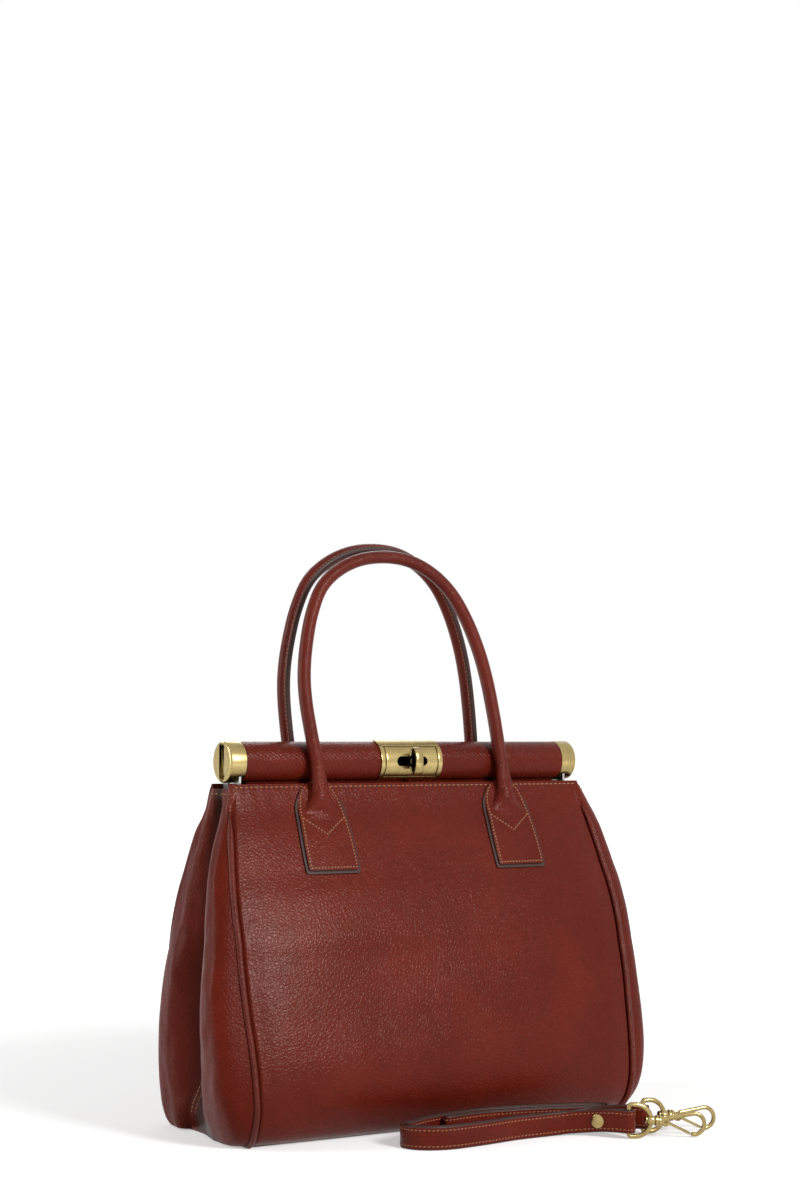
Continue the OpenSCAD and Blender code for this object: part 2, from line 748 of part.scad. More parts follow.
// The inner strand keeps one pitch to the right of the outer one
function flat_heading(path, i) = let (
    d = path[min(i + 1, len(path) - 1)] - path[max(i - 1, 0)]
) unit([d[0], d[1]]);
inner_strand = [
    for (i = [0:len(outer_strand) - 1]) let (h = flat_heading(outer_strand, i))
        [outer_strand[i][0] + strap_pitch * h[1], outer_strand[i][1] - strap_pitch * h[0], 0]
];
tail = len(outer_strand) - 1;
tail_heading = flat_heading(outer_strand, tail);
tail_mid = (outer_strand[tail] + inner_strand[tail]) / 2;
strap_path = concat(
    backwards(strap_end(bar_a, strap_turn_a)),
    outer_strand,
    [[tail_mid[0] + 0.6 * strap_pitch * tail_heading[0], tail_mid[1] + 0.6 * strap_pitch * tail_heading[1], 0]],
    [for (i = [tail:-1:2]) inner_strand[i]],
    [for (p = strap_b_shares) scaled(p)],
    strap_end(bar_b, strap_turn_b)
);
function strap_ring(i) = let (
    p = strap_path[i], h = flat_heading(strap_path, i), n = strap_t / 2 * [-h[1], h[0]],
    low = p[2] * strap_lift, high = low + strap_w
) [
    [p[0] + n[0], p[1] + n[1], low], [p[0] + n[0], p[1] + n[1], high],
    [p[0] - n[0], p[1] - n[1], high], [p[0] - n[0], p[1] - n[1], low]
];
rivet_r = 4.75;
rivet_cap_t = 1;
rivet_hole_r = 1.8;
rivet_u = -0.72 * flap_len;
rivet_lift_share = 0.75;
// Puts things on the strap's end: x along the end, y across it
module on_strap_end(place, turn) {
    translate([place[0], place[1], 0])
        rotate([0, 0, turn])
            children();
}
module rivet_line(r, near, far) {
    translate([rivet_u, near, rivet_lift_share * strap_lift + strap_w / 2])
        rotate([-90, 0, 0])
            cylinder(r = r, h = far - near);
}
module strap() {
    color("#6e2a1c") difference() {
        skin([for (i = [0:len(strap_path) - 1]) strap_ring(i)]);
        on_strap_end(bar_a, strap_turn_a)
            rivet_line(rivet_hole_r, -bend_r - strap_t, flap_v + strap_t);
        on_strap_end(bar_b, strap_turn_b)
            rivet_line(rivet_hole_r, -bend_r - strap_t, flap_v + strap_t);
    }
}
module rivet() {
    front = -bend_r - strap_t / 2 - seam / 3;
    rear = flap_v + strap_t / 2 + seam / 3;
    rivet_line(rivet_hole_r - 2 * running, front, rear);
    rivet_line(rivet_r, front - rivet_cap_t, front);
    rivet_line(rivet_r, rear, rear + rivet_cap_t);
}
module strap_rivets() {
    color("#b5a067") {
        on_strap_end(bar_a, strap_turn_a) rivet();
        on_strap_end(bar_b, strap_turn_b) rivet();
    }
}

// Loops and snap hooks at the ends of the strap, drawn with x along the hook

hook_turn_a = -25;
hook_turn_b = -16;
hook_slope = 6;
wire_r = loop_wire / 2;
loop_arc_r = loop_h / 2 - wire_r;
loop_straight = 5;
boss_x = loop_straight + loop_arc_r;
boss_r = 3.2;
boss_half = 2.5;
swivel_r = 1.5;
knuckle_r = 2.6;
knuckle_t = 1.6;
barrel_r = 3.8;
barrel_len = 5;
neck_len = 2;
gate_pivot = boss_half + seam + barrel_len + neck_len;
root_r = 3.4;
hook_t = 3;
gate_t = 1.4;
hook_wire = 3;
gate_pin_r = 1.1;

module at_loop(place, turn) {
    translate([place[0], place[1], loop_h / 2])
        rotate([0, 0, turn])
            children();
}
module at_boss(place, turn) {
    at_loop(place, turn)
        translate([boss_x, 0, 0])
            rotate([0, hook_slope, 0])
                children();
}
module swivel_bar(r, from, to) {
    translate([from, 0, 0])
        rotate([0, 90, 0])
            cylinder(r = r, h = to - from);
}
module strap_loop(place, turn) {
    color("#b5a067") difference() {
        at_loop(place, turn) {
            translate([0, 0, -loop_arc_r])
                cylinder(r = wire_r, h = 2 * loop_arc_r);
            for (z = [-loop_arc_r, loop_arc_r]) translate([0, 0, z]) {
                sphere(r = wire_r);
                swivel_bar(wire_r, 0, loop_straight);
            }
            translate([loop_straight, 0, 0])
                rotate([90, 0, 0])
                    rotate([0, 0, -90])
                        rotate_extrude(angle = 180)
                            translate([loop_arc_r, 0])
                                circle(r = wire_r);
            translate([boss_x, 0, 0])
                rotate([0, hook_slope, 0])
                    swivel_bar(boss_r, -boss_half, boss_half);
        }
        at_boss(place, turn)
            swivel_bar(swivel_r + running, -overrun, overrun);
    }
}
module loop_a() { strap_loop(bar_a, hook_turn_a); }
module loop_b() { strap_loop(bar_b, hook_turn_b); }

// Outline round two circles, the first about the origin and the second about [reach, 0]
function drop_shape(small, large, reach) = let (open = acos((small - large) / reach)) concat(
    [for (i = [0:6]) let (a = open + (360 - 2 * open) * i / 6) [small * cos(a), small * sin(a)]],
    [for (i = [0:16]) let (a = -open + 2 * open * i / 16) [reach + large * cos(a), large * sin(a)]]
);
module flat_plate(thick) {
    rotate([90, 0, 0])
        linear_extrude(thick, center = true)
            children();
}
gap_start = root_r / 2;
gap_end = root_r + hook_reach - 1.3 * hook_wire - seam;
gate_turn = -atan2(nose_r - hook_wire / 2, hook_reach - hook_wire / 2);
gate_len = norm([nose_r - hook_wire / 2, hook_reach - hook_wire / 2]) - hook_wire / 3;
module snap_hook(place, turn) {
    color("#b5a067") at_boss(place, turn) {
        swivel_bar(swivel_r, -boss_half - seam - knuckle_t, boss_half + 2 * seam);
        swivel_bar(knuckle_r, -boss_half - seam - knuckle_t, -boss_half - seam);
        difference() {
            swivel_bar(barrel_r, boss_half + seam, boss_half + seam + barrel_len);
            translate([gate_pivot, 0, 0]) flat_plate(gate_t + 2 * seam)
                circle(r = root_r + seam);
        }
        difference() {
            translate([gate_pivot, 0, 0]) flat_plate(hook_t) difference() {
                polygon(drop_shape(root_r, nose_r, hook_reach));
                translate([hook_wire, 0])
                    polygon(drop_shape(root_r - 0.8 * hook_wire, nose_r - hook_wire, hook_reach - hook_wire));
                translate([gap_start, -nose_r - overrun])
                    square([gap_end - gap_start, nose_r + overrun]);
            }
            translate([gate_pivot, 0, 0]) flat_plate(gate_t + 2 * seam)
                circle(r = root_r + seam);
            translate([gate_pivot, 0, 0]) rotate([90, 0, 0])
                cylinder(r = gate_pin_r, h = overrun, center = true);
        }
        difference() {
            translate([gate_pivot, 0, 0]) for (way = [-1, 1])
                translate([0, way * (gate_t / 2 + seam + hook_t / 4), 0]) flat_plate(hook_t / 2)
                    circle(r = root_r);
            translate([gate_pivot, 0, 0]) rotate([90, 0, 0])
                cylinder(r = gate_pin_r, h = 2 * overrun, center = true);
        }
    }
}
module hook_a() { snap_hook(bar_a, hook_turn_a); }
module hook_b() { snap_hook(bar_b, hook_turn_b); }

module hook_gate(place, turn) {
    gate_h = 0.7 * hook_wire;
    color("#b5a067") at_boss(place, turn)
        translate([gate_pivot, 0, 0])
            rotate([0, -gate_turn, 0])
                difference() {
                    flat_plate(gate_t) {
                        circle(r = root_r - 2 * seam);
                        translate([0, -gate_h / 2])
                            square([gate_len, gate_h]);
                    }
                    rotate([90, 0, 0])
                        cylinder(r = gate_pin_r + running, h = overrun, center = true);
                }
}
module gate_a() { hook_gate(bar_a, hook_turn_a); }
module gate_b() { hook_gate(bar_b, hook_turn_b); }

module gate_pin(place, turn) {
    color("#8d8d88") at_boss(place, turn)
        translate([gate_pivot, 0, 0])
            rotate([90, 0, 0])
                cylinder(r = gate_pin_r, h = gate_t + 2 * seam + hook_t, center = true);
}
module gate_pin_a() { gate_pin(bar_a, hook_turn_a); }
module gate_pin_b() { gate_pin(bar_b, hook_turn_b); }

front_panel();
back_panel();
base_panel();
gusset_left();
gusset_right();
piping_left();
piping_right();
base_board();
lining();
hinge_pins();
ring_keepers();
front_tab_ends();
back_tab_ends();
front_backing_ends();
back_backing_ends();
front_panel_top();
back_panel_top();
front_bar();
back_bar();
front_bar_cover();
back_bar_cover();
front_end_caps();
back_end_caps();
front_arms();
back_arms();
front_tabs();
back_tabs();
front_tab_backings();
back_tab_backings();
lock_plate();
lock_case();
knob_base_plate();
turn_knob();
knob_inlay();
knob_washer();
front_handle();
back_handle();
front_handle_core();
back_handle_core();
ring_left();
ring_right();
strap();
strap_rivets();
loop_a();
loop_b();
hook_a();
hook_b();
gate_a();
gate_b();
gate_pin_a();
gate_pin_b();
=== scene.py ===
"""Looks of a top handle bag: leather, brass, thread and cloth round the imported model.

Sizes are in millimetres until a mesh is finished. The frame is the model's own: X runs
along the bars, the front faces -Y, +Z is up and the floor is at zero.
"""

import json
import logging
import math
from dataclasses import dataclass, field
from enum import Enum
from typing import Any, Callable, ClassVar, Sequence

import bmesh
import bpy
from bmesh.types import BMEdge, BMesh, BMFace, BMVert
from mathutils import Matrix, Vector, noise
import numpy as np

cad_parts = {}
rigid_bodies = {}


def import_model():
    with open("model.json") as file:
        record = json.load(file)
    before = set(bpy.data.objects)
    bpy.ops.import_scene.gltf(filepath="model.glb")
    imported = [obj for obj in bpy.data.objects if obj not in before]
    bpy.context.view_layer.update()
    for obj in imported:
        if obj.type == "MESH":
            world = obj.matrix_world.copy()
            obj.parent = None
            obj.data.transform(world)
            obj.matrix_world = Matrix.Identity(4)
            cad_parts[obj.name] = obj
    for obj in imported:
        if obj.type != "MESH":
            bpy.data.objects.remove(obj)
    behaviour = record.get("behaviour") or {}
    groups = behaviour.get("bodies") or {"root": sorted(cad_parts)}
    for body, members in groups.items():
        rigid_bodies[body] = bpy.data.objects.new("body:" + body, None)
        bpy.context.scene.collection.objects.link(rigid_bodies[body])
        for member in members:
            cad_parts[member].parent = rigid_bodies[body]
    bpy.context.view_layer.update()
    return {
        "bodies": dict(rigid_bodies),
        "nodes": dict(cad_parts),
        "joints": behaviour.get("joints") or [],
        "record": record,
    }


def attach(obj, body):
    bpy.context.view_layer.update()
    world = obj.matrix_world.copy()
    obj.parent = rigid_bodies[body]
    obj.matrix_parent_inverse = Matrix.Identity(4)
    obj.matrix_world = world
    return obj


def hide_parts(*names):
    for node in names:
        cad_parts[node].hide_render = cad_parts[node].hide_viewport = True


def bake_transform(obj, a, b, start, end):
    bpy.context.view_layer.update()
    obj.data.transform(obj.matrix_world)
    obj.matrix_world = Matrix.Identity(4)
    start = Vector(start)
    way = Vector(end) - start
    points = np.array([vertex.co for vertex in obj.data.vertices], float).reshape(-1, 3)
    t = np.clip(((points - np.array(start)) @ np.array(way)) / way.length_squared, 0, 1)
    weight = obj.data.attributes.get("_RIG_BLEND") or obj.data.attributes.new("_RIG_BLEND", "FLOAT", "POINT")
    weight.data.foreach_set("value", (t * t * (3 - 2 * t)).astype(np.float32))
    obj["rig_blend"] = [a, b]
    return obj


log = logging.getLogger("bag")

MILLIMETRE = 0.001
WHITE = (1.0, 1.0, 1.0, 1.0)
BLACK = (0.0, 0.0, 0.0, 1.0)
MIRROR_X = Matrix.Diagonal((-1, 1, 1, 1))

Place = Callable[[float, float], Vector]
Points = Sequence[Sequence[float]]
Corners = list[tuple[float, float]]


class Way(Enum):
    """Directions along one axis, with a word for each."""

    @property
    def word(self) -> str:
        """Name used in pieces and bodies."""
        return self.name.lower()


class Side(Way):
    """Front or back half of the bag, with its direction along Y."""

    FRONT = -1
    BACK = 1

    @property
    def frame(self) -> str:
        """Body of this half of the frame."""
        return f"{self.word}_frame"

    @property
    def grip(self) -> str:
        """Body of this half's handle."""
        return f"{self.word}_grip"


class End(Way):
    """Left or right end of the bag, with its direction along X."""

    LEFT = -1
    RIGHT = 1


class Slot(Enum):
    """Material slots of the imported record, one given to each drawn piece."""

    BODY = "body_leather"
    EDGE = "edge_leather"
    CLOTH = "lining_cloth"
    BRASS = "antique_brass"
    DARK = "dark_metal"
    CORD = "cord_core"


# Numbers and curves


def smooth(share: float) -> float:
    """Eased step from 0 to 1."""
    held = min(max(share, 0.0), 1.0)
    return held * held * (3 - 2 * held)


def srgb(red: int, green: int, blue: int) -> tuple[float, float, float, float]:
    """Linear colour of a screen colour given from 0 to 255.

    Args:
        red: Red part.
        green: Green part.
        blue: Blue part.

    Returns:
        The colour as a shader takes it.
    """
    parts = [part / 255 for part in (red, green, blue)]
    linear = [p / 12.92 if p <= 0.04045 else ((p + 0.055) / 1.055) ** 2.4 for p in parts]
    return (*linear, 1.0)


@dataclass(frozen=True)
class Table:
    """Smooth curve through a table of places and values."""

    rows: Points

    def at(self, place: float) -> float:
        """Value at a place, held beyond both ends.

        Args:
            place: Where to read the curve.

        Returns:
            The value there.
        """
        rows = self.rows
        if place <= rows[0][0]:
            return rows[0][1]
        if place >= rows[-1][0]:
            return rows[-1][1]
        i = next(k for k in range(len(rows) - 1) if rows[k + 1][0] >= place)
        (x0, y0), (x1, y1) = rows[i], rows[i + 1]
        step = x1 - x0
        t = (place - x0) / step
        m0, m1 = self._slope(i) * step, self._slope(i + 1) * step
        cube, square = t * t * t, t * t
        start = (2 * cube - 3 * square + 1) * y0 + (cube - 2 * square + t) * m0
        return start + (3 * square - 2 * cube) * y1 + (cube - square) * m1

    def _slope(self, i: int) -> float:
        """Slope at a row, from its neighbours."""
        before, after = self.rows[max(i - 1, 0)], self.rows[min(i + 1, len(self.rows) - 1)]
        return (after[1] - before[1]) / (after[0] - before[0])


def spline(points: Sequence[Vector], steps: int) -> list[Vector]:
    """Smooth curve through points.

    Args:
        points: Points that the curve passes.
        steps: Steps for each span.

    Returns:
        The finer points, with the last one.
    """
    last = len(points) - 1
    fine = []
    for i in range(last):
        a, b = points[max(i - 1, 0)], points[i]
        c, d = points[i + 1], points[min(i + 2, last)]
        for k in range(steps):
            t = k / steps
            bend = (2 * a - 5 * b + 4 * c - d) * t * t
            fine.append(0.5 * (2 * b + (c - a) * t + bend + (3 * b - a - 3 * c + d) * t * t * t))
    return [*fine, points[last].copy()]


def lengths(path: Sequence[Vector]) -> list[float]:
    """Distance along a path at each of its points.

    Args:
        path: Points of the path.

    Returns:
        The distances, the first one 0.
    """
    total = [0.0]
    for before, after in zip(path, path[1:]):
        total.append(total[-1] + (after - before).length)
    return total


def spaced(path: Sequence[Vector], pitch: float) -> list[tuple[Vector, Vector, int]]:
    """Evenly spaced places on a path.

    Args:
        path: Points of the path.
        pitch: Distance between places.

    Returns:
        For each place, the place, the direction of the path there and the step it is on.
    """
    marks = lengths(path)
    count = max(int(marks[-1] / pitch), 1)
    found, i = [], 0
    for k in range(count):
        goal = (k + 0.5) * marks[-1] / count
        while marks[i + 1] < goal:
            i += 1
        share = (goal - marks[i]) / (marks[i + 1] - marks[i])
        heading = (path[i + 1] - path[i]).normalized()
        found.append((path[i].lerp(path[i + 1], share), heading, i))
    return found


def circle(r: float, count: int) -> Corners:
    """Corners of a round section."""
    turns = [math.tau * k / count for k in range(count)]
    return [(r * math.cos(a), r * math.sin(a)) for a in turns]


def arc(start: int, stop: int, step: int) -> list[float]:
    """Angles from one number of degrees to below another."""
    return [math.radians(a) for a in range(start, stop, step)]


def moved(x: float = 0, y: float = 0, z: float = 0) -> Matrix:
    """Matrix that moves."""
    return Matrix.Translation((x, y, z))


def turn(degrees: float, axis: str) -> Matrix:
    """Matrix that turns about an axis."""
    return Matrix.Rotation(math.radians(degrees), 4, axis)


def sized(x: float, y: float, z: float = 1) -> Matrix:
    """Matrix that scales."""
    return Matrix.Diagonal((x, y, z, 1))


def axes(origin: Vector, x: Vector, y: Vector, z: Vector) -> Matrix:
    """Matrix with these three directions as its columns and this origin."""
    return Matrix([[x[i], y[i], z[i], origin[i]] for i in range(3)] + [[0, 0, 0, 1]])


def heading_at(path: Sequence[Vector], i: int) -> Vector:
    """Direction from the point before to the point after, not yet of length 1."""
    return path[min(i + 1, len(path) - 1)] - path[max(i - 1, 0)]


def path_frames(path: Sequence[Vector], aside: Vector) -> list[Matrix]:
    """Matrices along a path, with Z along it and Y kept as near as can be to one direction.

    Args:
        path: Points of the path.
        aside: Direction that the path never follows.

    Returns:
        One matrix for each point.
    """
    frames = []
    for i, point in enumerate(path):
        z = heading_at(path, i).normalized()
        x = aside.cross(z).normalized()
        frames.append(axes(point, x, z.cross(x), z))
    return frames


# Shader nodes


@dataclass(frozen=True)
class Wire:
    """Output of a shader node, with Python's operators for its maths."""

    tree: "Tree"
    socket: Any

    def _join(self, operation: str, first: Any, second: Any) -> "Wire":
        """Joins two values, by vector maths where this output is a vector or a colour.

        Args:
            operation: The maths to do.
            first: Left value or wire.
            second: Right value or wire.

        Returns:
            The result.
        """
        vector = self.socket.type in ("VECTOR", "RGBA")
        kind = "ShaderNodeVectorMath" if vector else "ShaderNodeMath"
        if vector and operation == "MULTIPLY" and not isinstance(second, (Wire, tuple)):
            second = (second,) * 3
        return self.tree.node(kind, {"operation": operation}, {0: first, 1: second})

    def __add__(self, other: Any) -> "Wire":
        """Sum, from either side."""
        return self._join("ADD", self, other)

    def __mul__(self, other: Any) -> "Wire":
        """Product, from either side."""
        return self._join("MULTIPLY", self, other)

    __radd__, __rmul__ = __add__, __mul__

    def __sub__(self, other: Any) -> "Wire":
        """Difference."""
        return self._join("SUBTRACT", self, other)

    def __rsub__(self, other: Any) -> "Wire":
        """Difference, with this on the right."""
        return self._join("SUBTRACT", other, self)

    def __truediv__(self, other: Any) -> "Wire":
        """Quotient."""
        return self._join("DIVIDE", self, other)

    def __abs__(self) -> "Wire":
        """Size without the sign."""
        return self.tree.node("ShaderNodeMath", {"operation": "ABSOLUTE"}, {0: self})


class Tree:
    """Nodes of a material or of the world."""

    def __init__(self, tree: bpy.types.NodeTree) -> None:
        """Takes the tree.

        Args:
            tree: Node tree to add to.
        """
        self.nodes, self.links = tree.nodes, tree.links

    def feed(self, node: Any, inputs: dict[Any, Any]) -> None:
        """Sets or links sockets of a node.

        Args:
            node: The node.
            inputs: Values or wires by the name or number of the socket.
        """
        for key, value in inputs.items():
            if isinstance(value, Wire):
                self.links.new(value.socket, node.inputs[key])
            else:
                node.inputs[key].default_value = value

    def node(
        self,
        kind: str,
        settings: dict[str, Any] | None = None,
        inputs: dict[Any, Any] | None = None,
        output: int | str = 0,
    ) -> Wire:
        """Adds any node.

        Args:
            kind: Type of the node.
            settings: Its settings, such as a Math node's operation.
            inputs: Values or wires of its sockets.
            output: Which output to hand back.

        Returns:
            That output.
        """
        made = self.nodes.new(kind)
        for key, value in (settings or {}).items():
            setattr(made, key, value)
        self.feed(made, inputs or {})
        return Wire(self, made.outputs[output])

    def seen_rays(self) -> Wire:
        """1 for the rays that show a background: from the camera, in gloss and through glass.

        Returns:
            The sum of those kinds of ray, 1 at most.
        """
        total = self.node("ShaderNodeLightPath", output="Is Camera Ray")
        for word in ("Is Glossy Ray", "Is Transmission Ray"):
            total = total + self.node("ShaderNodeLightPath", output=word)
        return self.node("ShaderNodeMath", {"operation": "MINIMUM"}, {0: total, 1: 1.0})


class Graph(Tree):
    """Nodes of one material round its Principled shader."""

    def __init__(self, name: str) -> None:
        """Starts a material.

        Args:
            name: Name of the material.
        """
        self.material = bpy.data.materials.new(name)
        self.material.use_nodes = True
        super().__init__(self.material.node_tree)

    def place(self) -> Wire:
        """Place on the object in millimetres."""
        return self.node("ShaderNodeTexCoord", output="Object") * (1 / MILLIMETRE)

    def part(self, at: Wire, axis: int) -> Wire:
        """One coordinate of a place."""
        return self.node("ShaderNodeSeparateXYZ", {}, {0: at}, axis)

    def noise(
        self, at: Wire, size: float, detail: float = 2.0, rough: float = 0.5, output: int | str = 0
    ) -> Wire:
        """Cloudy value from 0 to 1.

        Args:
            at: Place in millimetres.
            size: Width of a cloud in millimetres.
            detail: Levels of detail.
            rough: Share of the finer levels.
            output: Color for three values in place of one.

        Returns:
            The value.
        """
        sockets = {"Vector": at, "Scale": 1 / size, "Detail": detail, "Roughness": rough}
        return self.node("ShaderNodeTexNoise", {}, sockets, output)

    def cells(self, at: Wire, size: float) -> Wire:
        """Distance to the nearest edge in a field of cells of one width, in cells."""
        settings, sockets = {"feature": "DISTANCE_TO_EDGE"}, {"Vector": at, "Scale": 1 / size}
        return self.node("ShaderNodeTexVoronoi", settings, sockets)

    def bands(self, at: Wire, direction: str, **sockets: float) -> Wire:
        """Wavy bands from 0 to 1.

        Args:
            at: Place in millimetres.
            direction: Which way they repeat.
            **sockets: The node's other values, with _ for a space.

        Returns:
            The value.
        """
        settings = {"wave_type": "BANDS", "bands_direction": direction}
        values = {key.replace("_", " "): value for key, value in sockets.items()}
        return self.node("ShaderNodeTexWave", settings, {"Vector": at, **values}, 1)

    def step(self, value: Any, low: float, high: float) -> Wire:
        """Eased step of a value between two limits."""
        limits = {"Value": value, "From Min": low, "From Max": high}
        return self.node("ShaderNodeMapRange", {"interpolation_type": "SMOOTHSTEP"}, limits)

    def mix(self, share: Any, first: Any, second: Any) -> Wire:
        """Mixes two colours by the share of the second.

        Args:
            share: Share of the second colour.
            first: First colour.
            second: Second colour.

        Returns:
            The mixed colour.
        """
        return self.node(
            "ShaderNodeMix", {"data_type": "RGBA"}, {0: share, 6: first, 7: second}, 2
        )

    def bump(self, height: Wire, depth: float, strength: float = 1.0) -> Wire:
        """Bends the normal by a height.

        Args:
            height: Height from 0 to 1.
            depth: What a height of 1 is, in millimetres.
            strength: Strength of the effect.

        Returns:
            The normal.
        """
        values = {"Height": height, "Distance": depth * MILLIMETRE, "Strength": strength}
        return self.node("ShaderNodeBump", {}, values)

    def surface(self, **sockets: Any) -> bpy.types.Material:
        """Feeds the shader's sockets, named with _ for a space.

        Args:
            **sockets: Values or wires.

        Returns:
            The finished material.
        """
        values = {key.replace("_", " "): value for key, value in sockets.items()}
        self.feed(self.nodes["Principled BSDF"], values)
        return self.material


# Finishes


@dataclass(frozen=True)
class Leather:
    """Smooth calf leather with a fine pebbled grain and a soft polish, with painted shade along a gusset's
    pleat valley where folds is set.
    """

    name: str
    middle: tuple = srgb(102, 30, 17)
    deep: tuple = srgb(90, 25, 14)
    light: tuple = srgb(108, 34, 20)
    creases: tuple = srgb(64, 16, 9)
    # Colour of the painted shade in a gusset's pleat valley.
    shaded: tuple = srgb(26, 7, 4)
    tint: tuple = (1.0, 0.72, 0.66, 1.0)
    pebble: float = 2.6
    wrinkle: float = 0.0
    # Strength of the painted shade in the pleat valley, 0 for none.
    folds: float = 0.0
    rough: float = 0.31
    shine: float = 0.16
    relief: float = 0.15

    def material(self) -> bpy.types.Material:
        """Builds the leather's nodes.

        Returns:
            The material.
        """
        g = Graph(self.name)
        at = g.place()
        bent = at + g.noise(at, 1 / 0.6, 1.0, output="Color") * 0.9
        cloud = g.noise(at, 60, 3)
        blotch = g.noise(at, 9, 3, 0.6)
        tone = g.step(0.7 * cloud + 0.3 * blotch, 0.36, 0.64)
        grain = g.step(g.cells(bent, self.pebble), 0.0, 0.3)
        pores = g.step(g.noise(at, 1.2, 1), 0.3, 0.62)
        colour = g.mix(tone, self.deep, self.middle)
        colour = g.mix(g.step(cloud, 0.52, 0.8) * 0.5, colour, self.light)
        colour = g.mix(grain * 0.3 + 0.7, self.creases, colour)
        # Painted shade: the colour goes towards the shaded colour near the middle of the depth, in a band
        # that narrows higher up, where the pleat valley lies in shadow.
        if self.folds:
            near = abs(g.part(at, 1)) / (40 - 0.14 * g.part(at, 2))
            shade = (1 - g.step(near, 0.3, 1.05)) * self.folds
            colour = g.mix(shade, colour, self.shaded)
        height = 0.62 * grain + 0.12 * pores + 0.5 * g.noise(at, 4.5, 2)
        if self.wrinkle:
            slant = g.bands(
                at, "DIAGONAL", Scale=0.17, Distortion=7.0, Detail=3.0, Detail_Scale=0.5
            )
            height = height + self.wrinkle * slant
        polish = self.rough + 0.16 * (g.noise(at, 22, 3) - 0.5) - 0.05 * (grain - 0.5)
        return g.surface(
            Base_Color=colour,
            Roughness=polish,
            Specular_IOR_Level=self.shine,
            Specular_Tint=self.tint,
            Normal=g.bump(height, self.relief),
        )


@dataclass(frozen=True)
class EdgePaint:
    """Dark rounded paint on the cut edges of the leather."""

    name: str
    dark: tuple = srgb(46, 26, 23)
    light: tuple = srgb(64, 38, 33)

    def material(self) -> bpy.types.Material:
        """Builds the paint's nodes.

        Returns:
            The material.
        """
        g = Graph(self.name)
        at = g.place()
        streak = g.noise(at, 1.6, 2)
        return g.surface(
            Base_Color=g.mix(streak, self.dark, self.light),
            Roughness=0.42 + 0.14 * streak,
            Specular_IOR_Level=0.3,
            Normal=g.bump(g.noise(at, 1.1, 2), 0.1, 0.5),
        )


@dataclass(frozen=True)
class Metal:
    """Metal with fine brushing, cloudy tarnish and small wear."""

    name: str
    bright: tuple
    tarnish: tuple
    rough: float = 0.27
    worn: float = 0.5
    brushed: tuple = (1.0, 1.0, 1.0)

    def material(self) -> bpy.types.Material:
        """Builds the metal's nodes.

        Returns:
            The material.
        """
        g = Graph(self.name)
        at = g.place()
        cloud = g.step(g.noise(at, 7, 4, 0.6), 0.35, 0.7)
        hair = g.noise(at * self.brushed, 0.5, 2)
        colour = g.mix(cloud * self.worn, self.bright, self.tarnish)
        return g.surface(
            Base_Color=g.mix(hair * 0.12, colour, self.tarnish),
            Metallic=1.0,
            Roughness=self.rough + 0.06 * (cloud - 0.5) + 0.05 * (hair - 0.5),
            Normal=g.bump(hair, 0.006, 0.15),
        )


@dataclass(frozen=True)
class Thread:
    """Waxed thread with its twist."""

    name: str
    light: tuple = srgb(184, 112, 66)
    dark: tuple = srgb(136, 74, 40)

    def material(self) -> bpy.types.Material:
        """Builds the thread's nodes.

        Returns:
            The material.
        """
        g = Graph(self.name)
        at = g.place()
        twist = g.bands(at, "DIAGONAL", Scale=1.0, Distortion=1.0)
        tone = 0.6 * twist + 0.4 * g.noise(at, 5, 2)
        return g.surface(
            Base_Color=g.mix(tone, self.dark, self.light),
            Roughness=0.55 + 0.1 * twist,
            Normal=g.bump(twist, 0.1, 0.6),
        )


@dataclass(frozen=True)
class Weave:
    """Woven cloth, or the fibres of a cord or board."""

    name: str
    light: tuple
    dark: tuple
    pitch: float = 0.7
    rough: float = 0.8

    def material(self) -> bpy.types.Material:
        """Builds the cloth's nodes.

        Returns:
            The material.
        """
        g = Graph(self.name)
        at = g.place()
        scale = 0.32 / self.pitch
        warp, weft = (g.bands(at, axis, Scale=scale, Distortion=0.4) for axis in "XZ")
        cross = 0.5 * warp + 0.5 * weft
        tone = 0.5 * cross + 0.5 * g.noise(at, 18, 3)
        return g.surface(
            Base_Color=g.mix(tone, self.dark, self.light),
            Roughness=self.rough + 0.1 * (cross - 0.5),
            Sheen_Weight=0.2,
            Normal=g.bump(cross, 0.12, 0.6),
        )


@dataclass(frozen=True)
class Backdrop:
    """Pale floor that shows white to the camera and keeps the shadow."""

    name: str = "pale_floor"
    colour: tuple = srgb(240, 240, 240)
    dusty: tuple = srgb(236, 236, 234)
    near: float = 0.42

    def material(self) -> bpy.types.Material:
        """Builds the floor's nodes.

        Returns:
            The material.
        """
        g = Graph(self.name)
        at = g.place()
        out = g.node("ShaderNodeVectorMath", {"operation": "LENGTH"}, {0: at}, "Value")
        lift = g.seen_rays() * (self.near + g.step(out, 350, 1600) * (1.0 - self.near))
        return g.surface(
            Base_Color=g.mix(0.3 * g.noise(at, 300, 2), self.colour, self.dusty),
            Roughness=0.9,
            Specular_IOR_Level=0.0,
            Emission_Color=g.mix(lift, BLACK, WHITE),
            Emission_Strength=1.0,
        )


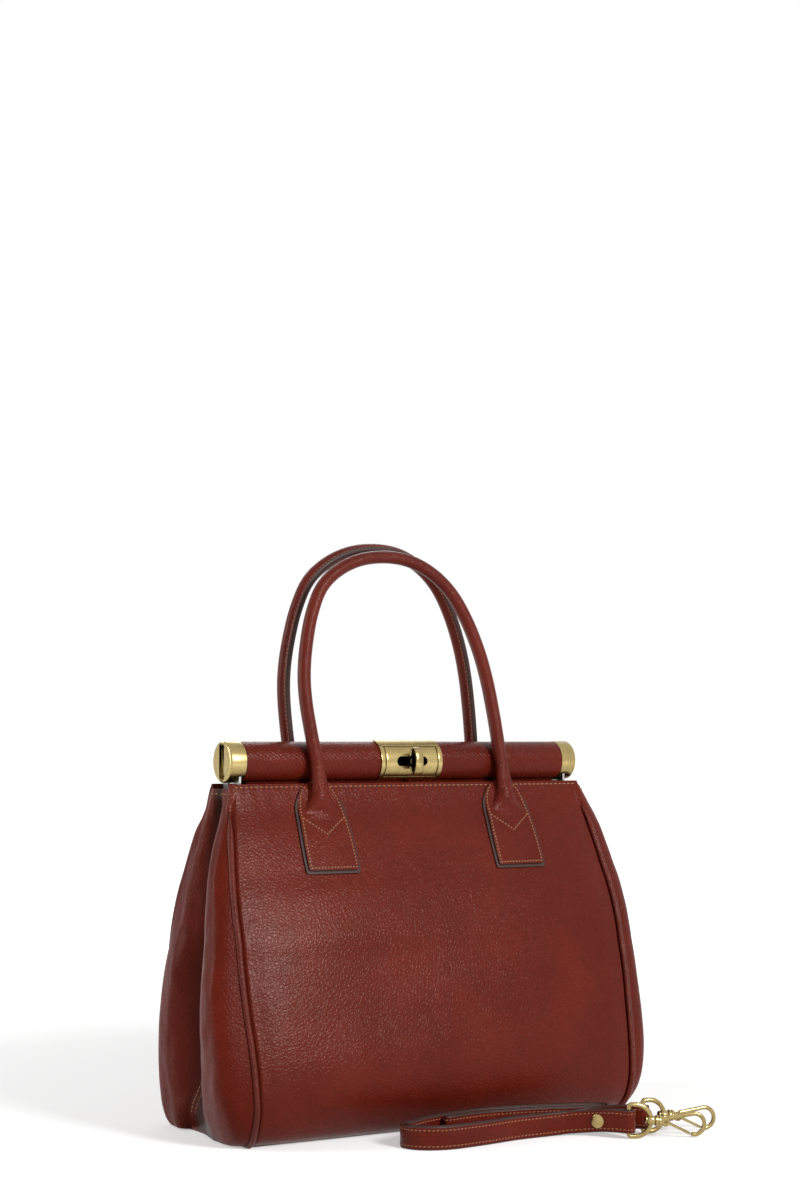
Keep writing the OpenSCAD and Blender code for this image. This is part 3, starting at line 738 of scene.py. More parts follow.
class Finishes:
    """The bag's materials, each made once."""

    def __init__(self) -> None:
        """Makes every material."""
        bright, shade = srgb(178, 158, 106), srgb(126, 106, 62)
        self.leather = Leather("calf_leather").material()
        self.bar_leather = Leather("bar_leather", wrinkle=0.9).material()
        self.grip_leather = Leather("grip_leather", pebble=1.4, rough=0.28, shine=0.2).material()
        # The gusset leather carries the painted shade of its pleat valley.
        self.gusset_leather = Leather(
            "gusset_leather", folds=0.9, rough=0.34, shine=0.09
        ).material()
        self.piping_leather = Leather(
            "piping_leather", srgb(104, 32, 19), srgb(86, 24, 13), pebble=1.1, shine=0.26
        ).material()
        self.edge = EdgePaint("edge_paint").material()
        self.sewing = [Thread("waxed_thread").material(), self.edge]
        self.brass = Metal(
            "satin_brass", bright, shade, worn=0.3, brushed=(0.12, 1.0, 1.0)
        ).material()
        self.engraved = Metal("engraved_brass", srgb(92, 74, 42), srgb(58, 46, 26), 0.4).material()
        self.cast_brass = Metal("cast_brass", bright, shade, 0.22).material()
        self.dark = Metal("gunmetal", srgb(36, 36, 40), srgb(15, 15, 17), 0.16, 0.6).material()
        self.steel = Metal(
            "nickelled_steel", srgb(190, 190, 186), srgb(128, 126, 120), 0.34
        ).material()
        self.lining = Weave("lining_weave", srgb(176, 150, 112), srgb(128, 102, 70)).material()
        self.board = Weave(
            "grey_board", srgb(140, 132, 122), srgb(104, 96, 88), 2.2, 0.9
        ).material()
        self.cord = Weave("cotton_cord", srgb(214, 196, 158), srgb(168, 144, 102)).material()
        self.floor = Backdrop().material()


# Meshes


@dataclass(frozen=True)
class Fold:
    """Where a soft piece passes from a still body to a moving one, by height."""

    still: str
    moving: str
    low: float
    high: float
    share: Callable[[Vector], float] | None = None


def only(parts: Sequence[Any], kind: type) -> list[Any]:
    """Those parts of a mesh that are of one kind."""
    return [part for part in parts if isinstance(part, kind)]


@dataclass
class Piece:
    """A mesh in the making, in millimetres, and what it tells the frame."""

    name: str
    finishes: Sequence[bpy.types.Material]
    slot: Slot
    body: str | Fold
    replaces: Sequence[str] = ()
    crease: float = 40.0
    bm: BMesh = field(default_factory=bmesh.new)

    def grid(self, columns: int, rows: int, place: Place) -> None:
        """Adds a sheet, mapped from a unit square.

        Args:
            columns: Faces along the first share.
            rows: Faces along the second share.
            place: Where the two shares lie.
        """
        made = bmesh.ops.create_grid(self.bm, x_segments=columns, y_segments=rows, size=0.5)
        for vertex in made["verts"]:
            vertex.co = place(vertex.co.x + 0.5, vertex.co.y + 0.5)

    def face(self, x: float, y: float, z: float) -> None:
        """Turns open sheets so that most of them faces a direction.

        Args:
            x: Direction along the bars.
            y: Direction to the back.
            z: Direction upwards.
        """
        self.bm.normal_update()
        way = Vector((x, y, z))
        if sum(face.normal.dot(way) * face.calc_area() for face in self.bm.faces) < 0:
            bmesh.ops.reverse_faces(self.bm, faces=self.bm.faces[:])

    def thicken(self, thickness: float) -> None:
        """Gives a sheet its wall on the side away from its normals."""
        bmesh.ops.solidify(self.bm, geom=self.bm.faces[:], thickness=thickness)

    def sheet(
        self, size: tuple[int, int], place: Place, way: Sequence[float], thickness: float
    ) -> None:
        """Makes the whole piece of one thick sheet and finishes it.

        Args:
            size: Faces along both shares.
            place: Where the two shares lie.
            way: Direction that its outer face looks.
            thickness: Thickness inwards from there.
        """
        self.grid(*size, place)
        self.face(*way)
        self.thicken(thickness)
        self.finish()

    def join(self, bm: BMesh) -> None:
        """Takes in all of another mesh and frees it.

        Args:
            bm: The mesh to take in.
        """
        spare = bpy.data.meshes.new("spare")
        bm.to_mesh(spare)
        bm.free()
        self.bm.from_mesh(spare)
        bpy.data.meshes.remove(spare)

    def sweep(
        self,
        section: Points,
        frames: Sequence[Matrix],
        paint: Callable[[float, float], int] | None = None,
        warp: Callable[[int, float, float], tuple[float, float]] | None = None,
        closed: bool = False,
        capped: bool = True,
    ) -> None:
        """Carries a section along a row of matrices.

        Args:
            section: Corners of the section, anticlockwise as seen from ahead.
            frames: A matrix for each step, with Z along the way.
            paint: Material number of a face from its place in the section.
            warp: New place of a corner from its step and its place in the section.
            closed: True where the last step joins the first.
            capped: True where the ends are filled.
        """
        first = [self.bm.verts.new(frames[0] @ Vector((*corner, 0.0))) for corner in section]
        edges = [self.bm.edges.new((a, b)) for a, b in zip(first, first[1:] + first[:1])]
        start, made, rings = list(edges), [], [first]
        for before, after in zip(frames, frames[1:]):
            grown = bmesh.ops.extrude_edge_only(self.bm, edges=edges)["geom"]
            verts, faces = only(grown, BMVert), only(grown, BMFace)
            fresh = set(verts)
            edges = [edge for edge in only(grown, BMEdge) if fresh.issuperset(edge.verts)]
            bmesh.ops.transform(self.bm, matrix=after @ before.inverted(), verts=verts)
            rings.append(verts)
            middle = before.lerp(after, 0.5).inverted()
            for face in faces if paint else ():
                spot = middle @ face.calc_center_median()
                face.material_index = paint(spot.x, spot.y)
            made += faces
        if closed:
            made += bmesh.ops.bridge_loops(self.bm, edges=start + edges)["faces"]
        elif capped:
            made += bmesh.ops.holes_fill(self.bm, edges=start + edges)["faces"]
        for i, (ring, seat) in enumerate(zip(rings, frames) if warp else ()):
            for vertex in ring:
                spot = seat.inverted() @ vertex.co
                vertex.co = seat @ Vector((*warp(i, spot.x, spot.y), spot.z))
        bmesh.ops.recalc_face_normals(self.bm, faces=made)

    def turned(self, outline: Points, matrix: Matrix, steps: int = 28) -> None:
        """Spins an outline of radius and height about Z.

        Args:
            outline: Corners from the lower axis point to the upper one.
            matrix: Where the turned piece goes.
            steps: Faces round the axis.
        """
        bm = bmesh.new()
        verts = [bm.verts.new((r, 0.0, h)) for r, h in outline]
        edges = [bm.edges.new(pair) for pair in zip(verts, verts[1:])]
        bmesh.ops.spin(
            bm, geom=verts + edges, cent=(0, 0, 0), axis=(0, 0, 1), angle=math.tau, steps=steps,
            use_merge=True,
        )  # fmt: skip
        bmesh.ops.remove_doubles(bm, verts=bm.verts, dist=0.0005)
        bmesh.ops.recalc_face_normals(bm, faces=bm.faces)
        bmesh.ops.transform(bm, matrix=matrix, verts=bm.verts)
        self.join(bm)

    def round_edges(self, width: float, angle: float = 60.0) -> None:
        """Bevels every edge that is sharper than an angle.

        Args:
            width: How far the bevel reaches from the edge.
            angle: The angle, in degrees.
        """
        self.bm.normal_update()
        sharp = [
            edge
            for edge in self.bm.edges
            if len(edge.link_faces) == 2 and edge.calc_face_angle(0.0) > math.radians(angle)
        ]
        bmesh.ops.bevel(
            self.bm, geom=sharp, offset=width, affect="EDGES", segments=2, profile=0.5,
            material=-1, clamp_overlap=True,
        )  # fmt: skip

    def mirror_x(self) -> None:
        """Adds a copy of all there is, mirrored to the other end of the bag."""
        bm = self.bm
        made = bmesh.ops.duplicate(bm, geom=bm.verts[:] + bm.edges[:] + bm.faces[:])["geom"]
        bmesh.ops.transform(bm, matrix=MIRROR_X, verts=only(made, BMVert))
        bmesh.ops.reverse_faces(bm, faces=only(made, BMFace))

    def finish(self) -> None:
        """Makes the object in metres, gives it its finish and tells the frame."""
        bmesh.ops.scale(self.bm, vec=(MILLIMETRE,) * 3, verts=self.bm.verts)
        mesh = bpy.data.meshes.new(self.name)
        self.bm.to_mesh(mesh)
        self.bm.free()
        mesh.shade_smooth()
        mesh.set_sharp_from_angle(angle=math.radians(self.crease))
        for finish in self.finishes:
            mesh.materials.append(finish)
        made = bpy.data.objects.new(self.name, mesh)
        bpy.context.scene.collection.objects.link(made)
        if isinstance(self.body, Fold):
            self._bend(made, self.body)
        else:
            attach(made, self.body)
        if self.replaces:
            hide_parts(*self.replaces)
        log.info("%s: %d faces", self.name, len(mesh.polygons))

    def _bend(self, made: bpy.types.Object, fold: Fold) -> None:
        """Lets the object bend between the two bodies of its fold.

        Args:
            made: The object.
            fold: Its bodies and heights.
        """
        ends = [[0.0, 0.0, height * MILLIMETRE] for height in (fold.low, fold.high)]
        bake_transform(made, fold.still, fold.moving, start=ends[0], end=ends[1])
        if fold.share is None:
            return
        weights = made.data.attributes["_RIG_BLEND"].data
        for vertex, weight in zip(made.data.vertices, weights):
            weight.value *= fold.share(vertex.co / MILLIMETRE)


@dataclass
class Stitching:
    """Rows of thread stitches with dark needle holes between, gathered into one piece."""

    piece: Piece
    pitch: float = 3.0
    long: float = 2.1
    wide: float = 0.9
    high: float = 0.6
    slant: float = 0.0

    hole_high: ClassVar[float] = 0.16
    batch: ClassVar[int] = 12

    def row(self, path: Sequence[Vector], outward: Sequence[Vector]) -> None:
        """Adds a row of stitches along a path.

        Args:
            path: The row's places on the leather.
            outward: Direction away from the leather at each of them.
        """
        gap = self.pitch - self.long
        stitch = turn(self.slant, "Z") @ sized(self.long / 2, self.wide / 2, self.high / 2)
        hole = moved(self.pitch / 2) @ sized(0.6 * gap, 0.55 * self.wide, self.hole_high)
        bm = bmesh.new()
        for k, (place, heading, i) in enumerate(spaced(path, self.pitch)):
            up = outward[i].normalized()
            across = up.cross(heading).normalized()
            seat = axes(place, across.cross(up), across, up)
            self._bead(bm, seat @ stitch, 0)
            self._bead(bm, seat @ hole, 1)
            if k % self.batch == self.batch - 1:
                self.piece.join(bm)
                bm = bmesh.new()
        self.piece.join(bm)

    @staticmethod
    def _bead(bm: BMesh, matrix: Matrix, finish: int) -> None:
        """Adds a small round shape with one of the piece's finishes.

        Args:
            bm: Mesh to add to.
            matrix: Place, turn and half sizes.
            finish: Number of the finish.
        """
        made = bmesh.ops.create_uvsphere(bm, u_segments=6, v_segments=4, radius=1.0, matrix=matrix)
        for face in {face for vertex in made["verts"] for face in vertex.link_faces}:
            face.material_index = finish


# The bag's body


@dataclass(frozen=True)
class BodyShape:
    """Outer form of the body, which every sewn piece follows."""

    width: float = 326.0
    depth: float = 148.0
    height: float = 244.0
    rim: float = 242.6
    piping_r: float = 2.3
    seam: float = 2.7
    fold_low: float = 170.0
    fold_high: float = 228.0
    seam_roll: tuple = (3.0, 3.6, 3.4)
    broad_roll: tuple = (1.2, 3.0, 18.0)
    belly: tuple = (1.2, 4.2)
    sag: tuple = (1.1, 0.3, 0.22)

    depths: ClassVar[Table] = Table((
        (0, 0.71), (0.012, 0.82), (0.03, 0.89), (0.06, 0.95), (0.09, 0.985), (0.115, 1),
        (0.17, 0.992), (0.23, 0.965), (0.29, 0.926), (0.34, 0.888), (0.4, 0.845), (0.46, 0.799),
        (0.51, 0.758), (0.57, 0.716), (0.63, 0.65), (0.69, 0.58), (0.74, 0.514),
        (0.8, 0.442), (0.86, 0.366), (0.93, 0.265), (1, 0.19),
    ))  # fmt: skip
    widths: ClassVar[Table] = Table((
        (0, 0.96), (0.02, 0.967), (0.06, 0.973), (0.11, 0.975), (0.17, 0.979), (0.23, 0.983),
        (0.29, 0.988), (0.34, 0.993), (0.4, 0.998), (0.46, 1), (0.57, 0.999), (0.63, 0.998),
        (0.69, 0.992), (0.74, 0.983), (0.8, 0.972), (0.86, 0.959), (0.9, 0.948), (0.93, 0.938),
        (1, 0.918),
    ))  # fmt: skip
    pleats: ClassVar[Table] = Table((
        (0, 0), (0.06, 0.004), (0.12, 0.03), (0.2, 0.08), (0.3, 0.14), (0.41, 0.17),
        (0.5, 0.158), (0.58, 0.134), (0.65, 0.108), (0.72, 0.086), (0.8, 0.072), (0.86, 0.064),
        (0.93, 0.034), (0.965, 0.006), (1, 0),
    ))  # fmt: skip

    def half_depth(self, z: float) -> float:
        """Half the depth at a height."""
        return self.depths.at(z / self.height) * self.depth / 2

    def half_width(self, z: float) -> float:
        """Half the width at a height."""
        return self.widths.at(z / self.height) * self.width / 2

    def pleat(self, z: float) -> float:
        """Depth of the gusset's pleat at a height."""
        return self.pleats.at(z / self.height) * self.width / 2

    def relief(self, side: Side, x: float, z: float) -> float:
        """How far the leather stands out from the plain form.

        Args:
            side: Front or back.
            x: Place along the bars.
            z: Height.

        Returns:
            The distance, outwards.
        """
        edge = self.half_width(z) - abs(x)
        rounding = 0.0
        for deep, start, span in (self.seam_roll, self.broad_roll):
            rounding += deep * (1 - smooth((edge - start) / span))
        rounding *= smooth((242 - z) / 22)
        open_field = smooth((edge - 4) / 30) * smooth(z / 40)
        belly = self.belly[0] * open_field * smooth((self.height - z) / 60)
        belly += self.belly[1] * smooth(edge / 85) * smooth(z / 60) * smooth((235 - z) / 80)
        drift = noise.noise(Vector((x / 85, z / 60, 3.0 * side.value)))
        ripple = noise.noise(Vector((x / 34, z / 30, 9.0 + side.value)))
        gather = noise.noise(Vector((x / 5.5, z / 30, 4.0))) * smooth((z - 212) / 26)
        slack = open_field * (self.sag[0] * drift + self.sag[1] * ripple)
        return belly + slack + self.sag[2] * gather - rounding

    def skin(self, side: Side, x: float, z: float) -> Vector:
        """Outer face of the wall at a place along the bars and a height."""
        return Vector((x, side.value * (self.half_depth(z) + self.relief(side, x, z)), z))

    def outward(self, side: Side, x: float, z: float) -> Vector:
        """Direction away from the wall there.

        Args:
            side: Front or back half.
            x: Place along the bars.
            z: Height.

        Returns:
            The direction, of length 1.
        """
        along = self.skin(side, x + 1, z) - self.skin(side, x - 1, z)
        rise = self.skin(side, x, z + 1) - self.skin(side, x, z - 1)
        return -side.value * along.cross(rise).normalized()

    def lifted(self, side: Side, x: float, z: float, height: float) -> Vector:
        """Point at a height above the wall."""
        return self.skin(side, x, z) + height * self.outward(side, x, z)

    def heights(self, low: float, high: float) -> Table:
        """Height against the share of the way up the wall's profile.

        Args:
            low: Lowest height.
            high: Highest height.

        Returns:
            The table.
        """
        steps = [low + (high - low) * k / 120 for k in range(121)]
        marks = lengths([Vector((self.half_depth(z), z)) for z in steps])
        return Table(tuple((mark / marks[-1], z) for mark, z in zip(marks, steps)))

    def hold_middle(self, place: Vector) -> float:
        """Keeps the middle of a gusset with the body as the frame opens."""
        return smooth(abs(place.y) / max(self.half_depth(place.z) - self.seam, 1.0))

    def sewn(
        self,
        side: Side,
        name: str,
        finishes: Sequence[bpy.types.Material],
        slot: Slot = Slot.BODY,
        replaces: Sequence[str] = (),
        gusset: bool = False,
    ) -> Piece:
        """Starts a piece that passes from the body to one half of the frame.

        Args:
            side: Front or back half.
            name: Name of the piece.
            finishes: Its materials.
            slot: Its slot in the record.
            replaces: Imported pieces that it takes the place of.
            gusset: True where its middle stays with the body.

        Returns:
            The empty piece.
        """
        share = self.hold_middle if gusset else None
        fold = Fold("bag_body", side.frame, self.fold_low, self.fold_high, share)
        return Piece(name, finishes, slot, fold, replaces)


@dataclass
class Walls:
    """Front and back leather, base, gussets, piping and lining."""

    shape: BodyShape
    finishes: Finishes
    leather: float = 2.0
    gusset_t: float = 1.6
    cloth: float = 0.7
    edge_in: float = 2.5
    hem_share: float = 0.955
    piping_top: float = 225.0
    stitch_drop: float = 1.1
    foot_share: float = 0.02
    foot_in: float = 14.0
    arm_clear: float = 143.9
    board_top: float = 5.5
    lining_x: float = 135.4
    lining_in: float = 3.2
    tuck: float = 9.0

    hem: ClassVar[Points] = (
        (14.1, 242.6), (13.9, 243.5), (13.1, 244.0), (12.0, 243.8), (10.5, 243.5),
        (8.6, 243.7), (6.6, 244.4), (5.0, 245.1),
    )  # fmt: skip
    plain_hem: ClassVar[Points] = (
        (14.1, 242.6), (13.9, 243.5), (13.1, 244.0), (12.2, 243.6), (11.9, 242.6),
        (11.9, 241.4), (11.9, 240.2), (11.9, 239.0),
    )  # fmt: skip
    front_left: ClassVar[Table] = Table((
        (0, 8), (12, 13), (27, 18.5), (42, 21.5), (70, 22), (99, 20), (127, 16), (150, 13),
        (168, 11), (195, 7.5), (227, 0.5), (244, 0),
    ))  # fmt: skip
    front_right: ClassVar[Table] = Table((
        (0, 6), (20, 13), (56, 17.5), (112, 15.5), (168, 15), (210, 14.5), (227, 12), (244, 7),
    ))  # fmt: skip
    behind: ClassVar[Table] = Table((
        (0, 8), (12, 7), (27, 6.5), (56, 8), (83, 8), (112, 6), (139, 2.5), (168, 0.5),
        (210, 1), (244, 2),
    ))  # fmt: skip
    valley_back: ClassVar[Table] = Table((
        (0, 26), (14, 25), (27, 21), (45, 13), (70, 5), (95, 0), (244, 0),
    ))  # fmt: skip

    def build(self) -> None:
        """Makes every sewn piece of the body."""
        for side in Side:
            self.wall(side)
            self.top_stitches(side)
            self.lining_wall(side)
            for end in End:
                self.gusset(side, end)
                self.piping(side, end)
                self.lining_end(side, end)
        self.floors()
        for side in Side:
            for end in End:
                self.gusset_stitches(side, end)
        self.keepers()

    def wall(self, side: Side) -> None:
        """Front or back leather from the floor to the hem under the bar.

        Args:
            side: Front or back half.
        """
        shape, top = self.shape, self.shape.rim
        rise = shape.heights(0.0, top)

        def place(across: float, up: float) -> Vector:
            """Place on the leather from the two shares.

            Args:
                across: Share of the way across.
                up: Share of the way up.

            Returns:
                The place.
            """
            span = 2 * across - 1
            span *= 1.35 - 0.35 * span * span
            if up <= self.hem_share:
                z = rise.at(up / self.hem_share)
                edge = self.edge_in - 2.1 * smooth((z - 212) / 9)
                return shape.skin(side, span * (shape.half_width(z) - edge), z)
            x = span * (shape.half_width(top) - 0.4)
            way = (up - self.hem_share) / (1 - self.hem_share) * (len(self.hem) - 1)
            i = min(int(way), len(self.hem) - 2)
            inner = smooth((135 - abs(x)) / 4)
            y, z = (
                (1 - inner) * self._along(self.plain_hem, i, way - i, axis)
                + inner * self._along(self.hem, i, way - i, axis)
                for axis in (0, 1)
            )
            return Vector((x, side.value * (y + shape.relief(side, x, top)), z))

        hidden = (f"{side.word}_panel", f"{side.word}_panel_top")
        piece = shape.sewn(side, f"{side.word}_leather", [self.finishes.leather], replaces=hidden)
        piece.sheet((176, 134), place, (0, side.value, 0), self.leather)

    @staticmethod
    def _along(points: Points, i: int, share: float, axis: int) -> float:
        """One coordinate part of the way between two points."""
        return points[i][axis] + share * (points[i + 1][axis] - points[i][axis])

    def top_stitches(self, side: Side) -> None:
        """Row of stitches just under the top edge of the leather.

        Args:
            side: Front or back half.
        """
        shape, z = self.shape, self.shape.rim - self.stitch_drop
        reach = shape.half_width(z) - 3.5
        piece = shape.sewn(side, f"{side.word}_top_stitches", self.finishes.sewing)
        places = [-reach + 2 * reach * k / 140 for k in range(141)]
        Stitching(piece, pitch=4.0, long=2.5, wide=1.1).row(
            [shape.lifted(side, x, z, 0.05) for x in places],
            [shape.outward(side, x, z) for x in places],
        )
        piece.finish()

    def floors(self) -> None:
        """Leather under the bag and the cloth over its stiffening board."""

        def flat(half_x: float, half_y: float, z: float) -> Place:
            """Level sheet of one size and height."""
            return lambda u, v: Vector(((2 * u - 1) * half_x, (2 * v - 1) * half_y, z))

        shape, body = self.shape, "bag_body"
        under = flat(shape.half_width(0) - self.edge_in, shape.half_depth(0) + 0.4, 0.0)
        over = flat(self.lining_x, shape.half_depth(self.board_top) - self.lining_in, 6.2)
        leather, cloth = [self.finishes.leather], [self.finishes.lining]
        base = Piece("base_leather", leather, Slot.BODY, body, ("base_panel",))
        base.sheet((60, 24), under, (0, 0, -1), self.leather)
        lining = Piece("lining_floor", cloth, Slot.CLOTH, body, ("lining",))
        lining.sheet((60, 28), over, (0, 0, 1), self.cloth)

    def gusset_place(self, side: Side, end: End, depth: float, z: float) -> Vector:
        """Outer face of a gusset.

        Args:
            side: Front or back half.
            end: Left or right gusset.
            depth: 0 at the piping and 1 in the valley of the pleat.
            z: Height.

        Returns:
            The place.
        """
        shape, rolls = self.shape, self.behind
        if side is Side.FRONT:
            rolls = self.front_left if end is End.LEFT else self.front_right
        reach = shape.half_depth(z) - shape.seam
        near = 1 - math.exp(-depth * reach / 3.0)
        bulge = rolls.at(z) * near * (1 - smooth((depth - 0.45) / 0.55))
        drop = shape.pleat(z) * max(0.0, (depth - 0.35) / 0.65) ** 1.5
        x = shape.half_width(z) - 0.8 + bulge - drop
        y = side.value * (1 - depth) * reach + self.valley_back.at(z) * depth * depth
        seed = 3.0 * side.value + 7.0 * end.value
        fold = noise.noise(Vector((depth * 2.4, z / 34, seed)))
        crease = noise.noise(Vector((depth * 7 + z / 40, z / 15, seed + 20)))
        live = smooth(depth / 0.25) * smooth((1.0 - depth) / 0.15) * smooth((shape.height - z) / 30)
        x += live * (1.3 * fold + 0.5 * crease)
        if z > shape.fold_low - 6:
            x = max(x, self.arm_clear - 6 * smooth((shape.fold_low + 4 - z) / 10))
        return Vector((end.value * x, y, z))

    def gusset(self, side: Side, end: End) -> None:
        """One half of a gusset, from the piping to the valley of the pleat.

        Args:
            side: Front or back half.
            end: Left or right end of the bag.
        """
        rise, foot = self.shape.heights(0.9, 240.5), self.foot_share

        def place(depth: float, up: float) -> Vector:
            """Place on the gusset, with its foot turned in under the bag.

            Args:
                depth: 0 at the piping and 1 in the valley of the pleat.
                up: Share of the way up.

            Returns:
                The place.
            """
            z = rise.at(max(up - foot, 0.0) / (1 - foot))
            spot = self.gusset_place(side, end, depth, z)
            spot.x -= end.value * self.foot_in * max(1 - up / foot, 0.0)
            return spot

        piece = self.shape.sewn(
            side, f"gusset_{end.word}_{side.word}", [self.finishes.gusset_leather],
            replaces=(f"gusset_{end.word}",), gusset=True,
        )  # fmt: skip
        piece.sheet((44, 120), place, (end.value, 0, 0), self.gusset_t)

    def gusset_stitches(self, side: Side, end: End) -> None:
        """Stitches along the hem of half a gusset and up its middle seam.

        Args:
            side: Front or back half.
            end: Left or right end of the bag.
        """
        name = f"gusset_stitches_{end.word}_{side.word}"
        piece = self.shape.sewn(side, name, self.finishes.sewing, gusset=True)
        hem = [(0.08 + 0.8 * k / 20, 236.8) for k in range(21)]
        seam = [(0.95, 12.0 + 215.0 * k / 80) for k in range(81)]
        for row in (hem, seam):
            points, out = [], []
            for d, z in row:
                point = self.gusset_place(side, end, d, z)
                beside = self.gusset_place(side, end, d - 0.03, z) - point
                above = self.gusset_place(side, end, d, z + 1) - point
                normal = beside.cross(above).normalized()
                out.append(normal if normal.x * end.value > 0 else -normal)
                points.append(point + 0.05 * out[-1])
            Stitching(piece, wide=1.0).row(points, out)
        piece.finish()

    def piping(self, side: Side, end: End) -> None:
        """Half of a side seam's piping, from its tapered top to under the end.

        Args:
            side: Front or back half.
            end: Left or right end of the bag.
        """
        shape, r, low = self.shape, self.shape.piping_r, 2.1
        rise = shape.heights(low, self.piping_top)
        path = []
        for z in (rise.at(1 - k / 110) for k in range(111)):
            x, y = shape.half_width(z) - r, shape.half_depth(z) - r
            path.append(Vector((end.value * x, side.value * y, z)))
        last = path[-1]
        path += [Vector((last.x, last.y * (1 - k / 14), low)) for k in range(1, 15)]
        frames = []
        for k, frame in enumerate(path_frames(path, Vector((1, 0, 0)))):
            thin = 0.25 + 0.75 * smooth(k / 9)
            frames.append(frame @ sized(thin, thin))
        piece = shape.sewn(
            side, f"piping_{end.word}_{side.word}", [self.finishes.piping_leather], Slot.EDGE,
            (f"piping_{end.word}",),
        )  # fmt: skip
        piece.sweep(circle(r, 12), frames)
        piece.finish()

    def lining_wall(self, side: Side) -> None:
        """Cloth against the inside of the leather.

        Args:
            side: Front or back half.
        """
        shape = self.shape
        rise = shape.heights(self.board_top, 240.0)

        def place(across: float, up: float) -> Vector:
            """Place on the cloth from the two shares.

            Args:
                across: Share of the way across.
                up: Share of the way up.

            Returns:
                The place.
            """
            z = rise.at(up)
            slack = 0.6 * noise.noise(Vector((across * 9, z / 28, 2)))
            y = shape.half_depth(z) - self.lining_in - slack
            return Vector(((2 * across - 1) * self.lining_x, side.value * y, z))

        cloth = [self.finishes.lining]
        piece = shape.sewn(side, f"lining_{side.word}", cloth, Slot.CLOTH, ("lining",))
        piece.sheet((80, 70), place, (0, -side.value, 0), self.cloth)

    def lining_end(self, side: Side, end: End) -> None:
        """Half of the cloth across one end, tucked in below the half rings.

        Args:
            side: Front or back half.
            end: Left or right end of the bag.
        """
        shape = self.shape
        rise = shape.heights(self.board_top, 232.0)

        def place(across: float, up: float) -> Vector:
            """Place on the cloth from the two shares.

            Args:
                across: Share of the way across.
                up: Share of the way up.

            Returns:
                The place.
            """
            z = rise.at(up)
            tuck = self.tuck * smooth((z - 30) / 80) * smooth((178 - z) / 40) * smooth(across)
            y = (1 - across) * (shape.half_depth(z) - self.lining_in)
            return Vector((end.value * (self.lining_x - tuck), side.value * y, z))

        name, cloth = f"lining_{end.word}_{side.word}", [self.finishes.lining]
        piece = shape.sewn(side, name, cloth, Slot.CLOTH, ("lining",), gusset=True)
        piece.sheet((20, 60), place, (-end.value, 0, 0), self.cloth)

    def keepers(self) -> None:
        """Leather loops that hold the two half rings inside the mouth."""
        bend, thick, wide = 1.7, 0.5, 4.3
        middle = Vector((132.7, 0, 192.96))
        around = [
            Vector((-bend * math.cos(a), 0, bend * math.sin(a))) for a in arc(-90, 91, 30)
        ]
        path = [Vector((2.0, 0, -bend)), *around, Vector((2.0, 0, 2.2)), Vector((2.2, 0, 7.0))]
        piece = Piece(
            "ring_keeper_loops", [self.finishes.leather], Slot.BODY, "bag_body", ("ring_keepers",)
        )
        section = [(-thick, -wide), (thick, -wide), (thick, wide), (-thick, wide)]
        piece.sweep(section, path_frames([p + middle for p in path], Vector((0, 1, 0))))
        piece.mirror_x()
        piece.finish()


# Handles and their tabs


FLARE = Table((
    (183, 19.5), (190.8, 19.8), (204.5, 19.5), (218.2, 18.6), (225, 18.0), (231.9, 16.7),
    (236, 15.2), (238.7, 13.6), (241.2, 10.8), (243.5, 7.6), (245, 6.6),
))  # fmt: skip
RIDGE = Table((
    (217, 17), (224, 13), (232, 8.8), (240, 6.9), (245, 6.3), (248, 5.9), (254, 5.25), (260, 4.75),
))  # fmt: skip
HANDLE_R = 4.75
HANDLE_OUT = 5.55


